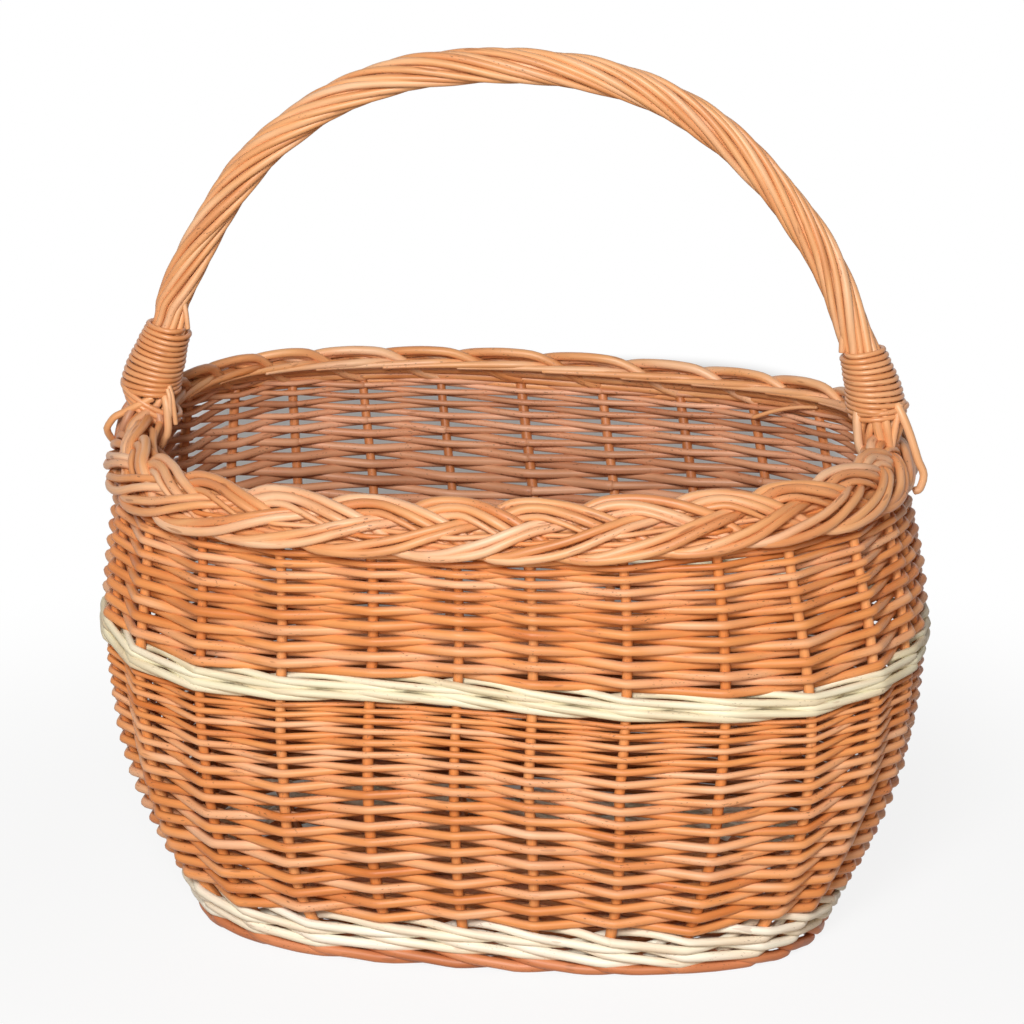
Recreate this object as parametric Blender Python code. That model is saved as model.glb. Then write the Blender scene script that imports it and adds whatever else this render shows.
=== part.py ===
"""Mushroom foraging basket: an oval willow basket with a round twisted hoop handle.

Everything is in metres, +Z up. The origin is the middle of the foot, on the ground. The long side
of the basket lies along X and the handle stands in the XZ plane.
"""
import math

import bmesh
import bpy
import numpy as np
from mathutils import Vector

for old_object in list(bpy.data.objects):
    bpy.data.objects.remove(old_object, do_unlink=True)

# Outside of the woven wall at its three levels
foot_length = 0.312
foot_width = 0.185
belly_length = 0.408
belly_width = 0.250
rim_length = 0.387
rim_width = 0.287
belly_height = 0.150
rim_height = 0.2303

# Plan outlines are superellipses: 2 is an ellipse, more is squarer
foot_power = 2.8
belly_power = 3.0
rim_power = 2.6
upper_wall_power = 1.25

# Upright stakes
stake_count = 29
stake_radius = 0.00235
lower_bend_count = 3
upper_bend_count = 1
end_crowding_share = 0.115
first_stake_share = 0.50

# Weaving rods
rod_thickness = 0.0041
weave_slack = 0.0005
rod_gap = 0.0010
join_share = 0.12
clearance = 0.0003

# Heights of the woven bands, from the ground up
foot_wale_height = 0.0062
foot_wale_width = 0.0115
base_wale_height = 0.0180
middle_wale_bottom = 0.1441
middle_wale_height = 0.0120
lower_round_count = 15
upper_round_count = 9
lower_rod_count = 2
upper_rod_count = 2
base_wale_round_count = 3
middle_wale_round_count = 2

# Woven base and its crossing sticks
base_weave_thickness = 0.0040
base_stick_height = 0.0066
base_stick_width = 0.0066
base_stick_lift = 0.0015
long_stick_count = 3
short_stick_count = 5
long_stick_height = 0.0034
long_stick_spacing = 0.0085
short_stick_spacing = 0.0460

# Plaited border
border_width = 0.0226
border_overhang = 0.0050
side_rods_height = 0.0168
side_rods_width = 0.0058
crown_height = 0.0237
ring_segment_count = 44

# Hoop handle
handle_foot_inset = 0.0100
handle_height = 0.4279
handle_power = 2.375
core_radius = 0.0037
handle_rod_radius = 0.0023
handle_rod_count = 8
handle_twist_pitch = 0.165
handle_point_count = 30
whipping_flare = 0.0027
foot_flare = 0.0022
flare_top_height = 0.300
flare_full_height = 0.275
foot_flare_height = 0.262

# Whippings round the feet of the handle
whip_radius = 0.00115
whip_pitch = 0.00285
left_whip_turn_count = 14
right_whip_turn_count = 12
whip_bottom_height = 0.2635
whip_loop_point_count = 16

outline_point_count = 720


def material(name, color, roughness):
    """A Principled BSDF with a plain colour."""
    new_material = bpy.data.materials.new(name)
    new_material.use_nodes = True
    shader = new_material.node_tree.nodes["Principled BSDF"]
    shader.inputs["Base Color"].default_value = (*color, 1.0)
    shader.inputs["Roughness"].default_value = roughness
    shader.inputs["Metallic"].default_value = 0.0
    return new_material


siding_willow = material("siding_willow", (0.76, 0.36, 0.14), 0.55)
stake_willow = material("stake_willow", (0.66, 0.27, 0.09), 0.55)
white_willow = material("white_willow", (0.92, 0.86, 0.68), 0.55)
foot_willow = material("foot_willow", (0.58, 0.26, 0.12), 0.6)
border_willow = material("border_willow", (0.78, 0.38, 0.16), 0.5)
handle_willow = material("handle_willow", (0.80, 0.38, 0.14), 0.45)
whipping_willow = material("whipping_willow", (0.82, 0.45, 0.20), 0.5)

basket = bpy.data.collections.new("mushroom_foraging_basket")
guides = bpy.data.collections.new("guides")
bpy.context.scene.collection.children.link(basket)
bpy.context.scene.collection.children.link(guides)


def wall_size(height):
    """Outer half length, half width and plan power of the wall at a height."""
    if height < belly_height:
        share = 1.0 - (1.0 - height / belly_height) ** 2
        low = (foot_length, foot_width, foot_power)
        high = (belly_length, belly_width, belly_power)
    else:
        share = ((height - belly_height) / (rim_height - belly_height)) ** upper_wall_power
        low = (belly_length, belly_width, belly_power)
        high = (rim_length, rim_width, rim_power)
    length, width, power = (a + (b - a) * share for a, b in zip(low, high))
    return length / 2, width / 2, power


weave_offset = stake_radius + clearance + weave_slack + rod_thickness / 2
wall_half_thickness = weave_offset + rod_thickness / 2
outline_cache = {}


def outline(half_length, half_width, power):
    """Points round a superellipse with the way run along it, counter-clockwise from +X."""
    key = (half_length, half_width, power)
    if key not in outline_cache:
        angle = np.linspace(0.0, 2 * math.pi, outline_point_count + 1)
        x = half_length * np.sign(np.cos(angle)) * np.abs(np.cos(angle)) ** (2 / power)
        y = half_width * np.sign(np.sin(angle)) * np.abs(np.sin(angle)) ** (2 / power)
        way = np.concatenate([[0.0], np.cumsum(np.hypot(np.diff(x), np.diff(y)))])
        outline_cache[key] = (x, y, way / way[-1])
    return outline_cache[key]


def outline_point(size, share):
    """The point of an outline at a share of the way round it."""
    x, y, way = outline(*size)
    share = share % 1.0
    return np.array([np.interp(share, way, x), np.interp(share, way, y)])


def outward(size, share):
    """The unit vector square to the outline, pointing away from the basket."""
    step = 0.5 / outline_point_count
    along = outline_point(size, share + step) - outline_point(size, share - step)
    along /= np.linalg.norm(along)
    return np.array([along[1], -along[0]])


def level_heights():
    """The heights where the stakes bend; between two of them the wall runs straight."""
    lower_run = belly_height - foot_wale_height
    upper_run = rim_height - belly_height
    lower = [foot_wale_height + lower_run * n / lower_bend_count for n in range(lower_bend_count)]
    upper = [belly_height + upper_run * n / upper_bend_count for n in range(upper_bend_count + 1)]
    return lower + upper


def level_point(height, share):
    """A point on the wall's middle surface at one of the levels."""
    size = wall_size(height)
    point = outline_point(size, share) - outward(size, share) * wall_half_thickness
    return Vector((point[0], point[1], height))


wall_levels = level_heights()


def wall_middle(height, share):
    """The point where a stake's centre line passes a height."""
    upper_end = next((n for n, level in enumerate(wall_levels) if level > height), len(wall_levels) - 1)
    number = max(upper_end - 1, 0)
    low, high = wall_levels[number], wall_levels[number + 1]
    return level_point(low, share).lerp(level_point(high, share), (height - low) / (high - low))


def wall_frame(height, share):
    """The wall's middle point, its outward normal and its lean from the upright."""
    rise = rod_thickness / 2
    above = wall_middle(height + rise, share)
    below = wall_middle(height - rise, share)
    up = (above - below).normalized()
    flat = outward(wall_size(height), share)
    lean = math.atan2(up.x * flat[0] + up.y * flat[1], up.z)
    normal = Vector((flat[0] * math.cos(lean), flat[1] * math.cos(lean), -math.sin(lean)))
    return wall_middle(height, share), normal, lean


def stake_share(number):
    """Where a stake stands, as a share of the way round: closer together at the ends."""
    share = (number + first_stake_share) / stake_count
    return share - end_crowding_share / (4 * math.pi) * math.sin(4 * math.pi * share)


def lean_room(height):
    """How far the faces of a leaning wall reach above and below its middle, at most."""
    leans = [wall_frame(height, stake_share(number))[2] for number in range(stake_count)]
    return wall_half_thickness * math.sin(max(abs(lean) for lean in leans))


def link(new_object, paint):
    """Put a finished piece in the basket's collection with its material."""
    new_object.data.materials.append(paint)
    basket.objects.link(new_object)
    return new_object


def curve_object(name, points, tilts=None, cyclic=False):
    """A polyline curve through points, not yet given a thickness."""
    data = bpy.data.curves.new(name, "CURVE")
    data.dimensions = "3D"
    data.twist_mode = "Z_UP"
    spline = data.splines.new("POLY")
    spline.points.add(len(points) - 1)
    for number, point in enumerate(points):
        spline.points[number].co = (*point, 1.0)
        if tilts:
            spline.points[number].tilt = tilts[number]
    spline.use_cyclic_u = cyclic
    data.use_fill_caps = not cyclic
    return bpy.data.objects.new(name, data)


def tube(name, points, radius, paint, resolution=1):
    """A round rod along points: four sides, and two more for each step of resolution."""
    rod = curve_object(name, points)
    rod.data.twist_mode = "MINIMUM"
    rod.data.bevel_depth = radius
    rod.data.bevel_resolution = resolution
    return link(rod, paint)


def section(name, width, height, ridge=0.0):
    """A flat outline that other pieces are swept with: a box, or one with a ridge along its top."""
    right = width / 2
    top = height / 2
    corners = [(-right, -top), (-right, top - ridge), (0.0, top), (right, top - ridge), (right, -top)]
    if ridge == 0.0:
        corners.pop(2)
    guide = curve_object(name, [(x, y, 0.0) for x, y in corners], cyclic=True)
    guide.hide_render = True
    guide.display_type = "WIRE"
    guides.objects.link(guide)
    return guide


def swept(name, points, tilts, guide, paint, cyclic=False):
    """A rod or band with the guide's section, swept along points."""
    band = curve_object(name, points, tilts, cyclic)
    band.data.bevel_mode = "OBJECT"
    band.data.bevel_object = guide
    return link(band, paint)


def weave_points(first_step, last_step, bottom, climb, pattern, start_nudge):
    """Points and tilts of a rod that passes each stake in turn, outside or inside it."""
    points = []
    tilts = []
    for step in range(first_step, last_step + 1):
        height = bottom + climb * step / stake_count
        share = stake_share(step % stake_count) + step // stake_count
        middle, normal, lean = wall_frame(height, share)
        side = pattern[step % len(pattern)]
        points.append(middle + normal * (side * weave_offset))
        tilts.append(lean)
    if start_nudge:
        points[0] = points[0].lerp(points[1], start_nudge)
    return points, tilts


def woven_band(names, bottom, height, rounds, pattern, paint):
    """A band of weaving that winds upwards, in as many lengths of rod as it has names."""
    climb = (height + rod_gap) / (rounds + 1)
    guide = section(names[0] + "_section", rod_thickness, climb - rod_gap)
    steps = rounds * stake_count
    steps_each = steps // len(names)
    start_height = bottom + (climb - rod_gap) / 2
    for number, name in enumerate(names):
        first = number * steps_each
        last = steps if number == len(names) - 1 else first + steps_each
        nudge = join_share if number else 0.0
        points, tilts = weave_points(first, last, start_height, climb, pattern, nudge)
        swept(name, points, tilts, guide, paint)


def build_stakes():
    """The upright rods, from the foot to the border."""
    for number in range(stake_count):
        share = stake_share(number)
        low_slant = stake_radius * math.sin(abs(wall_frame(foot_wale_height, share)[2]))
        high_slant = stake_radius * math.sin(abs(wall_frame(rim_height, share)[2]))
        bottom = wall_middle(foot_wale_height + clearance + low_slant, share)
        top = wall_middle(rim_height - clearance - high_slant, share)
        points = [bottom, *(level_point(height, share) for height in wall_levels[1:-1]), top]
        tube(f"stake_{number + 1:02d}", points, stake_radius, stake_willow)


def build_siding():
    """The wales and the plain weaving between the foot and the border."""
    over_one = (1, -1)
    over_two = (1, 1, -1)
    base_wale_bottom = foot_wale_height + clearance + lean_room(foot_wale_height)
    base_wale_top = base_wale_bottom + base_wale_height
    middle_wale_top = middle_wale_bottom + middle_wale_height
    lower_bottom = base_wale_top + clearance
    upper_bottom = middle_wale_top + clearance
    lower_height = middle_wale_bottom - clearance - lower_bottom
    upper_height = rim_height - clearance - lean_room(rim_height) - upper_bottom
    lower_names = [f"lower_siding_{number + 1}" for number in range(lower_rod_count)]
    upper_names = [f"upper_siding_{number + 1}" for number in range(upper_rod_count)]
    white, brown = white_willow, siding_willow
    bands = (
        (["base_wale"], base_wale_bottom, base_wale_height, base_wale_round_count, over_two, white),
        (lower_names, lower_bottom, lower_height, lower_round_count, over_one, brown),
        (["middle_wale"], middle_wale_bottom, middle_wale_height, middle_wale_round_count, over_two, white),
        (upper_names, upper_bottom, upper_height, upper_round_count, over_one, brown),
    )
    for band in bands:
        woven_band(*band)


def ring_points(size, inset, height):
    """Corners of a many-sided ring inside an outline, drawn in by an inset, at one height."""
    points = []
    for number in range(ring_segment_count):
        share = number / ring_segment_count
        place = outline_point(size, share) - outward(size, share) * inset
        points.append(Vector((place[0], place[1], height)))
    return points


def ring_part(ring, first, last):
    """The part of a ring between two places, counted in corners, which may lie between corners."""
    inner = range(math.floor(first) + 1, math.ceil(last))
    places = [first, *inner, last]
    points = []
    for place in places:
        corner = math.floor(place)
        start = ring[corner % ring_segment_count]
        points.append(start.lerp(ring[(corner + 1) % ring_segment_count], place - corner))
    return points


def build_foot():
    """The thick wale under the stakes, with a flat underside that the basket stands on."""
    guide = section("foot_wale_section", foot_wale_width, foot_wale_height)
    points = ring_points(wall_size(0.0), foot_wale_width / 2, foot_wale_height / 2)
    swept("foot_wale", points, None, guide, foot_willow, cyclic=True)


def build_border():
    """The plaited border: rods along both sides and a crown between them, open at the handle."""
    half_length, half_width, power = wall_size(rim_height)
    size = (half_length + border_overhang, half_width + border_overhang, power)
    side_guide = section("border_side_section", side_rods_width, side_rods_height, side_rods_width / 2)
    crown_width = border_width - 2 * (side_rods_width + clearance)
    crown_guide = section("border_crown_section", crown_width, crown_height, crown_width / 2)
    side_middle = rim_height + side_rods_height / 2
    crown_middle = rim_height + crown_height / 2
    outer_inset = side_rods_width / 2
    inner_inset = border_width - side_rods_width / 2
    for name, inset in (("border_outer_rods", outer_inset), ("border_inner_rods", inner_inset)):
        swept(name, ring_points(size, inset, side_middle), None, side_guide, border_willow, cyclic=True)
    crown_ring = ring_points(size, border_width / 2, crown_middle)
    bundle = core_radius + 2 * (handle_rod_radius + clearance) + whipping_flare + foot_flare
    opening = (bundle + 2 * clearance) / (crown_ring[1] - crown_ring[0]).length
    half_ring = ring_segment_count / 2
    for name, first in (("border_crown_back", 0.0), ("border_crown_front", half_ring)):
        points = ring_part(crown_ring, first + opening, first + half_ring - opening)
        swept(name, points, None, crown_guide, border_willow)


def flat_stick(name, size, location, paint):
    """A flattened stick of the base."""
    mesh = bpy.data.meshes.new(name)
    shape = bmesh.new()
    bmesh.ops.create_cube(shape, size=1.0)
    bmesh.ops.scale(shape, vec=size, verts=shape.verts)
    shape.to_mesh(mesh)
    shape.free()
    stick = link(bpy.data.objects.new(name, mesh), paint)
    stick.location = location
    return stick


def half_chord(size, inset, coordinate, axis):
    """Half the way across an outline, drawn in by an inset, at a coordinate on the other axis."""
    across = size[axis] - inset
    other = size[1 - axis] - inset
    power = size[2]
    return across * (1.0 - (abs(coordinate) / other) ** power) ** (1 / power)


def build_base():
    """The woven base on its crossing sticks: the long ones run through slits in the short ones."""
    size = wall_size(0.0)
    inset = foot_wale_width + clearance
    stick_middle = base_stick_lift + base_stick_height / 2
    cutters = []
    for number in range(long_stick_count):
        y = (number - (long_stick_count - 1) / 2) * long_stick_spacing
        reach = half_chord(size, inset, abs(y) + base_stick_width / 2, 0)
        stick_size = (2 * reach, base_stick_width, long_stick_height)
        flat_stick(f"base_long_stick_{number + 1}", stick_size, (0.0, y, stick_middle), foot_willow)
        slit_size = (2 * reach, base_stick_width + 2 * clearance, long_stick_height + 2 * clearance)
        cutters.append((y, slit_size))
    for number in range(short_stick_count):
        x = (number - (short_stick_count - 1) / 2) * short_stick_spacing
        reach = half_chord(size, inset, abs(x) + base_stick_width / 2, 1)
        stick_size = (base_stick_width, 2 * reach, base_stick_height)
        name = f"base_short_stick_{number + 1}"
        stick = flat_stick(name, stick_size, (x, 0.0, stick_middle), foot_willow)
        for slit_number, (y, slit_size) in enumerate(cutters):
            cutter = stick_cutter(f"slit_{number + 1}_{slit_number + 1}", slit_size, (x, y, stick_middle))
            cut = stick.modifiers.new("slit", "BOOLEAN")
            cut.operation = "DIFFERENCE"
            cut.object = cutter
    weave_bottom = base_stick_lift + base_stick_height + clearance
    weave_size = wall_size(weave_bottom)
    weave_inset = 2 * wall_half_thickness + 2 * clearance
    build_base_weave(weave_size, weave_inset, weave_bottom)


def stick_cutter(name, size, location):
    """The slit through a short stick, as long as the stick is wide and a little more."""
    mesh = bpy.data.meshes.new(name)
    shape = bmesh.new()
    bmesh.ops.create_cube(shape, size=1.0)
    bmesh.ops.scale(shape, vec=(2 * base_stick_width, size[1], size[2]), verts=shape.verts)
    shape.to_mesh(mesh)
    shape.free()
    cutter = bpy.data.objects.new(name, mesh)
    cutter.location = location
    cutter.hide_render = True
    cutter.display_type = "WIRE"
    guides.objects.link(cutter)
    return cutter


def build_base_weave(size, inset, bottom):
    """The oval woven floor, a flat outline with a thickness."""
    points = ring_points(size, inset, 0.0)
    floor = curve_object("base_weave", [(point.x, point.y, 0.0) for point in points], cyclic=True)
    floor.data.dimensions = "2D"
    floor.data.fill_mode = "BOTH"
    floor.data.extrude = base_weave_thickness / 2
    floor.location = (0.0, 0.0, bottom + base_weave_thickness / 2)
    link(floor, siding_willow)


def handle_line():
    """The handle's centre line from its left foot over the top to its right foot, finely divided."""
    side_top = rim_height + side_rods_height
    foot_x = rim_length / 2 + border_overhang - handle_foot_inset
    foot_angle = math.asin((side_top / handle_height) ** (handle_power / 2))
    half_span = foot_x / math.cos(foot_angle) ** (2 / handle_power)
    angles = np.linspace(math.pi - foot_angle, foot_angle, outline_point_count)
    x = half_span * np.sign(np.cos(angles)) * np.abs(np.cos(angles)) ** (2 / handle_power)
    z = handle_height * np.sin(angles) ** (2 / handle_power)
    return x, z


line_x, line_z = handle_line()
line_way = np.concatenate([[0.0], np.cumsum(np.hypot(np.diff(line_x), np.diff(line_z)))])
handle_run = line_way[-1]


def line_point(way):
    """The point on the handle's centre line at a way run along it."""
    return Vector((np.interp(way, line_way, line_x), 0.0, np.interp(way, line_way, line_z)))


def handle_frame(way):
    """The point on the centre line, and the direction out of the hoop there, at a way run."""
    step = handle_run / outline_point_count
    behind, here, ahead = (line_point(place) for place in (way - step, way, way + step))
    along = (ahead - behind).normalized()
    return here, Vector((-along.z, 0.0, along.x))


def smooth_step(value):
    """An even rise from 0 to 1."""
    value = min(max(value, 0.0), 1.0)
    return value * value * (3.0 - 2.0 * value)


def bundle_flare(height):
    """How much further out the rods lie as they spread towards the border."""
    upper = smooth_step((flare_top_height - height) / (flare_top_height - flare_full_height))
    side_top = rim_height + side_rods_height
    lower = smooth_step((foot_flare_height - height) / (foot_flare_height - side_top))
    return whipping_flare * upper + foot_flare * lower


def way_at_height(height, right):
    """The way run along the handle to where one leg passes a height."""
    half = len(line_z) // 2
    if right:
        return float(np.interp(-height, -line_z[half:], line_way[half:]))
    return float(np.interp(height, line_z[:half], line_way[:half]))


def build_handle():
    """The core hoop, and the rods that are twisted round it from one foot to the other."""
    ways = [handle_run * number / (handle_point_count - 1) for number in range(handle_point_count)]
    core_points = [handle_frame(way)[0] for way in ways]
    drop = Vector((0.0, 0.0, side_rods_height - clearance))
    core_points = [core_points[0] - drop, *core_points, core_points[-1] - drop]
    tube("handle_core", core_points, core_radius, handle_willow)
    lie = core_radius + clearance + handle_rod_radius
    half_step = math.pi * handle_run / (handle_point_count - 1) / handle_twist_pitch
    for number in range(handle_rod_count):
        points = []
        for way in ways:
            inside_way = min(max(way, 2 * clearance), handle_run - 2 * clearance)
            here, out = handle_frame(inside_way)
            turn = 2 * math.pi * (inside_way / handle_twist_pitch + number / handle_rod_count)
            reach = (lie + bundle_flare(here.z)) / math.cos(half_step)
            sideways = Vector((0.0, -reach * math.sin(turn), 0.0))
            points.append(here + out * (reach * math.cos(turn)) + sideways)
        points = [lift_clear(point) for point in points]
        tube(f"handle_rod_{number + 1}", points, handle_rod_radius, handle_willow, 0)


def lift_clear(point):
    """Keep a rod's end above the border's side rods."""
    lowest = rim_height + side_rods_height + clearance + handle_rod_radius
    return Vector((point.x, point.y, max(point.z, lowest)))


def whipping_points(turns, right):
    """An unbroken winding of thin rod round one foot of the handle."""
    start = way_at_height(whip_bottom_height, right)
    direction = -1.0 if right else 1.0
    bundle = core_radius + 2 * (clearance + handle_rod_radius)
    count = turns * whip_loop_point_count
    points = []
    for number in range(count + 1):
        turn = number / whip_loop_point_count
        here, out = handle_frame(start + direction * whip_pitch * turn)
        lie = bundle + bundle_flare(here.z) + clearance + whip_radius
        reach = lie / math.cos(math.pi / whip_loop_point_count)
        angle = 2 * math.pi * turn * direction
        sideways = Vector((0.0, reach * math.sin(angle), 0.0))
        points.append(here + out * (reach * math.cos(angle)) + sideways)
    first_tail = points[0] + (points[0] - points[1]).normalized() * (2 * whip_radius)
    last_tail = points[-1] + (points[-1] - points[-2]).normalized() * (2 * whip_radius)
    return [first_tail, *points, last_tail]


def least_self_gap(points, radius, loop_points):
    """The least space between one turn of a tube and any other turn, measured at its points."""
    places = np.array([tuple(point) for point in points])
    nearest = math.inf
    for number in range(len(places)):
        others = places[number + loop_points // 2:]
        if len(others) > 1:
            starts = others[:-1]
            runs = others[1:] - starts
            share = np.clip(((places[number] - starts) * runs).sum(1) / (runs * runs).sum(1), 0.0, 1.0)
            distance = np.linalg.norm(starts + runs * share[:, None] - places[number], axis=1)
            nearest = min(nearest, float(distance.min()))
    return nearest - 2 * radius


def build_whippings():
    """The thin rod wound round each foot of the handle."""
    feet = (("left_whipping", left_whip_turn_count, False), ("right_whipping", right_whip_turn_count, True))
    for name, turns, right in feet:
        points = whipping_points(turns, right)
        tube(name, points, whip_radius, whipping_willow)
        gap = least_self_gap(points, whip_radius, whip_loop_point_count)
        print(name, "least gap to itself in metres:", round(gap, 6))


build_foot()
build_base()
build_stakes()
build_siding()
build_border()
build_handle()
build_whippings()
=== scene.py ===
# %% [markdown]
# # A willow basket for mushrooms
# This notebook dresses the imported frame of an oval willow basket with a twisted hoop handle.
# Every rod of the real basket is a thin stick that bends round its neighbours, so almost all of
# the work is in finding good centre lines. Each centre line is then given a thickness, a tone
# and a willow finish. All places are in metres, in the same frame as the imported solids.

import math

import bpy
import numpy as np
from mathutils import Matrix


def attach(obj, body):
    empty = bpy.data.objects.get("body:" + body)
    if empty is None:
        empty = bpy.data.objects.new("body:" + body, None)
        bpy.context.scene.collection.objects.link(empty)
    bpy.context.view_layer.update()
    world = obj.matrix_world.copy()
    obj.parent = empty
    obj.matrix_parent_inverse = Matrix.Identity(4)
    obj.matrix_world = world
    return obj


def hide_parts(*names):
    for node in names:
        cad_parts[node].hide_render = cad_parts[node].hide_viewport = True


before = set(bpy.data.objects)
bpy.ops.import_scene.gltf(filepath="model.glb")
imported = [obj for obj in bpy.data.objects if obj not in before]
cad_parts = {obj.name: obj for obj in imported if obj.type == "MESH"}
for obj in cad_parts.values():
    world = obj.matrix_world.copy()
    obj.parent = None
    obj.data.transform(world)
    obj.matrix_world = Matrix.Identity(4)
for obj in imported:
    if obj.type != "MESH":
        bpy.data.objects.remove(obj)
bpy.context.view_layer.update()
print("nodes in the frame:", len(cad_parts))

# %% [markdown]
# ## The sizes of the basket
# A basket maker works from an outline on the ground, a belly and a rim. The outlines here are
# superellipses, which run from an ellipse (power 2) towards a rectangle (higher powers), and
# three of them, with heights, are enough to say the whole form.

# %% Sizes
FOOT = (0.1540, 0.0920, 2.8)
BELLY = (0.2040, 0.1250, 3.0)
RIM = (0.1935, 0.1435, 2.6)
BELLY_HEIGHT = 0.150
RIM_HEIGHT = 0.2303
STAKES = 29
STAKE_RADIUS = 0.00235
ROD_RADIUS = 0.0020
CROWDING = 0.115
FIRST_STAKE = 0.50
FOOT_CURVE = 2
RIM_CURVE = 1.25


def wall_outline(height):
    """Half length, half width and power of the wall's outside at a height."""
    if height < BELLY_HEIGHT:
        share, low, high = 1.0 - (1.0 - height / BELLY_HEIGHT) ** FOOT_CURVE, FOOT, BELLY
    else:
        share, low, high = ((height - BELLY_HEIGHT) / (RIM_HEIGHT - BELLY_HEIGHT)) ** RIM_CURVE, BELLY, RIM
    return [a + (b - a) * share for a, b in zip(low, high)]


print("outline at the rim:", [round(value, 4) for value in wall_outline(RIM_HEIGHT)])

# %% [markdown]
# The real basket isn't even. At its front the stakes lean to one side or the other, and both
# white bands rise and fall. The first table says how far a stake stands from its even place,
# in shares of the distance to the next one, near the foot, below the belly and below the rim.
# The second says how many millimetres the lower and the middle band lie above their level
# there. Both were measured on the photograph and rounded. The stakes are counted from the
# right end over the back, the left end and the front, and those that aren't named are even.

# %% Leans and lifts
SHIFT_LEVELS = (0.038, 0.105, 0.210)
STAKE_SHIFTS = {
    15: (-0.25, -0.10, 0.0), 16: (-0.50, -0.15, -0.05), 17: (-0.65, -0.30, -0.10),
    18: (-0.50, -0.20, -0.05), 19: (-0.35, -0.10, 0.05), 20: (-0.20, -0.05, 0.15),
    21: (-0.10, -0.05, 0.10), 22: (-0.10, -0.20, -0.10), 23: (0.0, -0.15, -0.05),
    24: (0.15, 0.05, 0.05), 25: (0.45, 0.25, 0.0), 26: (0.25, 0.30, 0.15), 27: (0.20, 0.25, 0.25),
}
LIFT_LEVELS = (0.011, BELLY_HEIGHT, RIM_HEIGHT)
BAND_LIFTS = {
    0: (0.0, 2.0), 14: (0.5, 3.0), 15: (1.0, 4.0), 16: (1.0, 4.0), 17: (1.0, -1.5), 18: (-0.5, -4.5),
    19: (-1.0, -3.5), 20: (1.5, 0.5), 21: (2.0, 1.5), 22: (2.0, -1.0), 23: (-0.5, -3.5),
    24: (-1.5, -2.5), 25: (1.0, -2.0), 26: (3.5, 2.5), 27: (4.0, 3.5), 28: (2.0, 4.0),
}
MILLIMETRE = 0.001
stake_numbers = np.arange(STAKES + 1)


def stake_table(rows, levels):
    """A line of numbers along the stakes for each level, nought where no number is given."""
    table = np.zeros((len(levels), STAKES + 1))
    for number, row in rows.items():
        table[:len(row), number] = row
    table[:, STAKES] = table[:, 0]
    return table


def over_heights(lines, levels, height):
    """Lines that are given at some levels, blended for other heights."""
    return sum(line * np.interp(height, levels, part) for line, part in zip(lines, np.eye(len(levels))))


shifts = stake_table(STAKE_SHIFTS, SHIFT_LEVELS)
lifts = stake_table(BAND_LIFTS, LIFT_LEVELS) * MILLIMETRE
print("stakes with a lean:", len(STAKE_SHIFTS), "and with a lift:", len(BAND_LIFTS))

# %% [markdown]
# ## A wall that can be asked for any place
# Weaving needs many thousands of places on the wall. It is quickest to work out a table of
# outlines once, one for each two millimetres of height, with its points evenly spaced along
# the way round, and to read between its rows and columns afterwards. The slopes of the table
# give the direction that faces out of the wall, which every rod needs to pass a stake on its
# outer or inner side.

# %% The wall as a table
ROUND_POINTS = 1440
TABLE_TOP, TABLE_ROWS = 0.252, 127
LEVELS = np.linspace(0.0, TABLE_TOP, TABLE_ROWS)
WALL_INSET = STAKE_RADIUS + 2 * ROD_RADIUS
STRAIGHTNESS = 0.85


def columns(*parts):
    """Numbers and lines of numbers side by side, as the columns of one table."""
    return np.stack(np.broadcast_arrays(*parts), axis=-1)


def even_outline(half_length, half_width, power, count=ROUND_POINTS):
    """Points evenly spaced round a superellipse, counter-clockwise from +X."""
    angle = np.linspace(0.0, 2 * np.pi, 4 * ROUND_POINTS + 1)
    x = half_length * np.sign(np.cos(angle)) * np.abs(np.cos(angle)) ** (2 / power)
    y = half_width * np.sign(np.sin(angle)) * np.abs(np.sin(angle)) ** (2 / power)
    way = np.concatenate([[0.0], np.cumsum(np.hypot(np.diff(x), np.diff(y)))])
    even = np.linspace(0.0, way[-1], count + 1)
    return columns(np.interp(even, way, x), np.interp(even, way, y))


def inset_outline(size, inset):
    """The outline's points drawn inwards, square to the outline."""
    points = even_outline(*size)
    along = np.roll(points[:-1], -1, axis=0) - np.roll(points[:-1], 1, axis=0)
    along /= np.linalg.norm(along, axis=1, keepdims=True)
    drawn = points[:-1] - columns(along[:, 1], -along[:, 0]) * inset
    return np.concatenate([drawn, drawn[:1]])


wall_table = np.stack([inset_outline(wall_outline(level), WALL_INSET) for level in LEVELS])


def wall_place(share, height):
    """Points of the wall's middle surface at shares of the way round and heights."""
    column = (np.asarray(share) % 1.0) * ROUND_POINTS
    row = np.clip(np.asarray(height) / LEVELS[1], 0, len(LEVELS) - 1.001)
    c, r = np.floor(column).astype(int) % ROUND_POINTS, np.floor(row).astype(int)
    u, v = (column - np.floor(column))[..., None], (row - r)[..., None]
    low = wall_table[r, c] * (1 - u) + wall_table[r, c + 1] * u
    high = wall_table[r + 1, c] * (1 - u) + wall_table[r + 1, c + 1] * u
    flat = low * (1 - v) + high * v
    return np.concatenate([flat, np.asarray(height)[..., None] * np.ones_like(u)], axis=-1)


def unit(vectors):
    """Vectors of length one."""
    return vectors / np.linalg.norm(vectors, axis=-1, keepdims=True)


def wall_axes(share, height):
    """The place on the wall with the directions out of it and up along it."""
    side, rise = 2.0 / ROUND_POINTS, 3 * MILLIMETRE
    along = wall_place(share + side, height) - wall_place(share - side, height)
    up = wall_place(share, height + rise) - wall_place(share, height - rise)
    out = unit(np.cross(along, up))
    return wall_place(share, height), out, unit(up)


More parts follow.
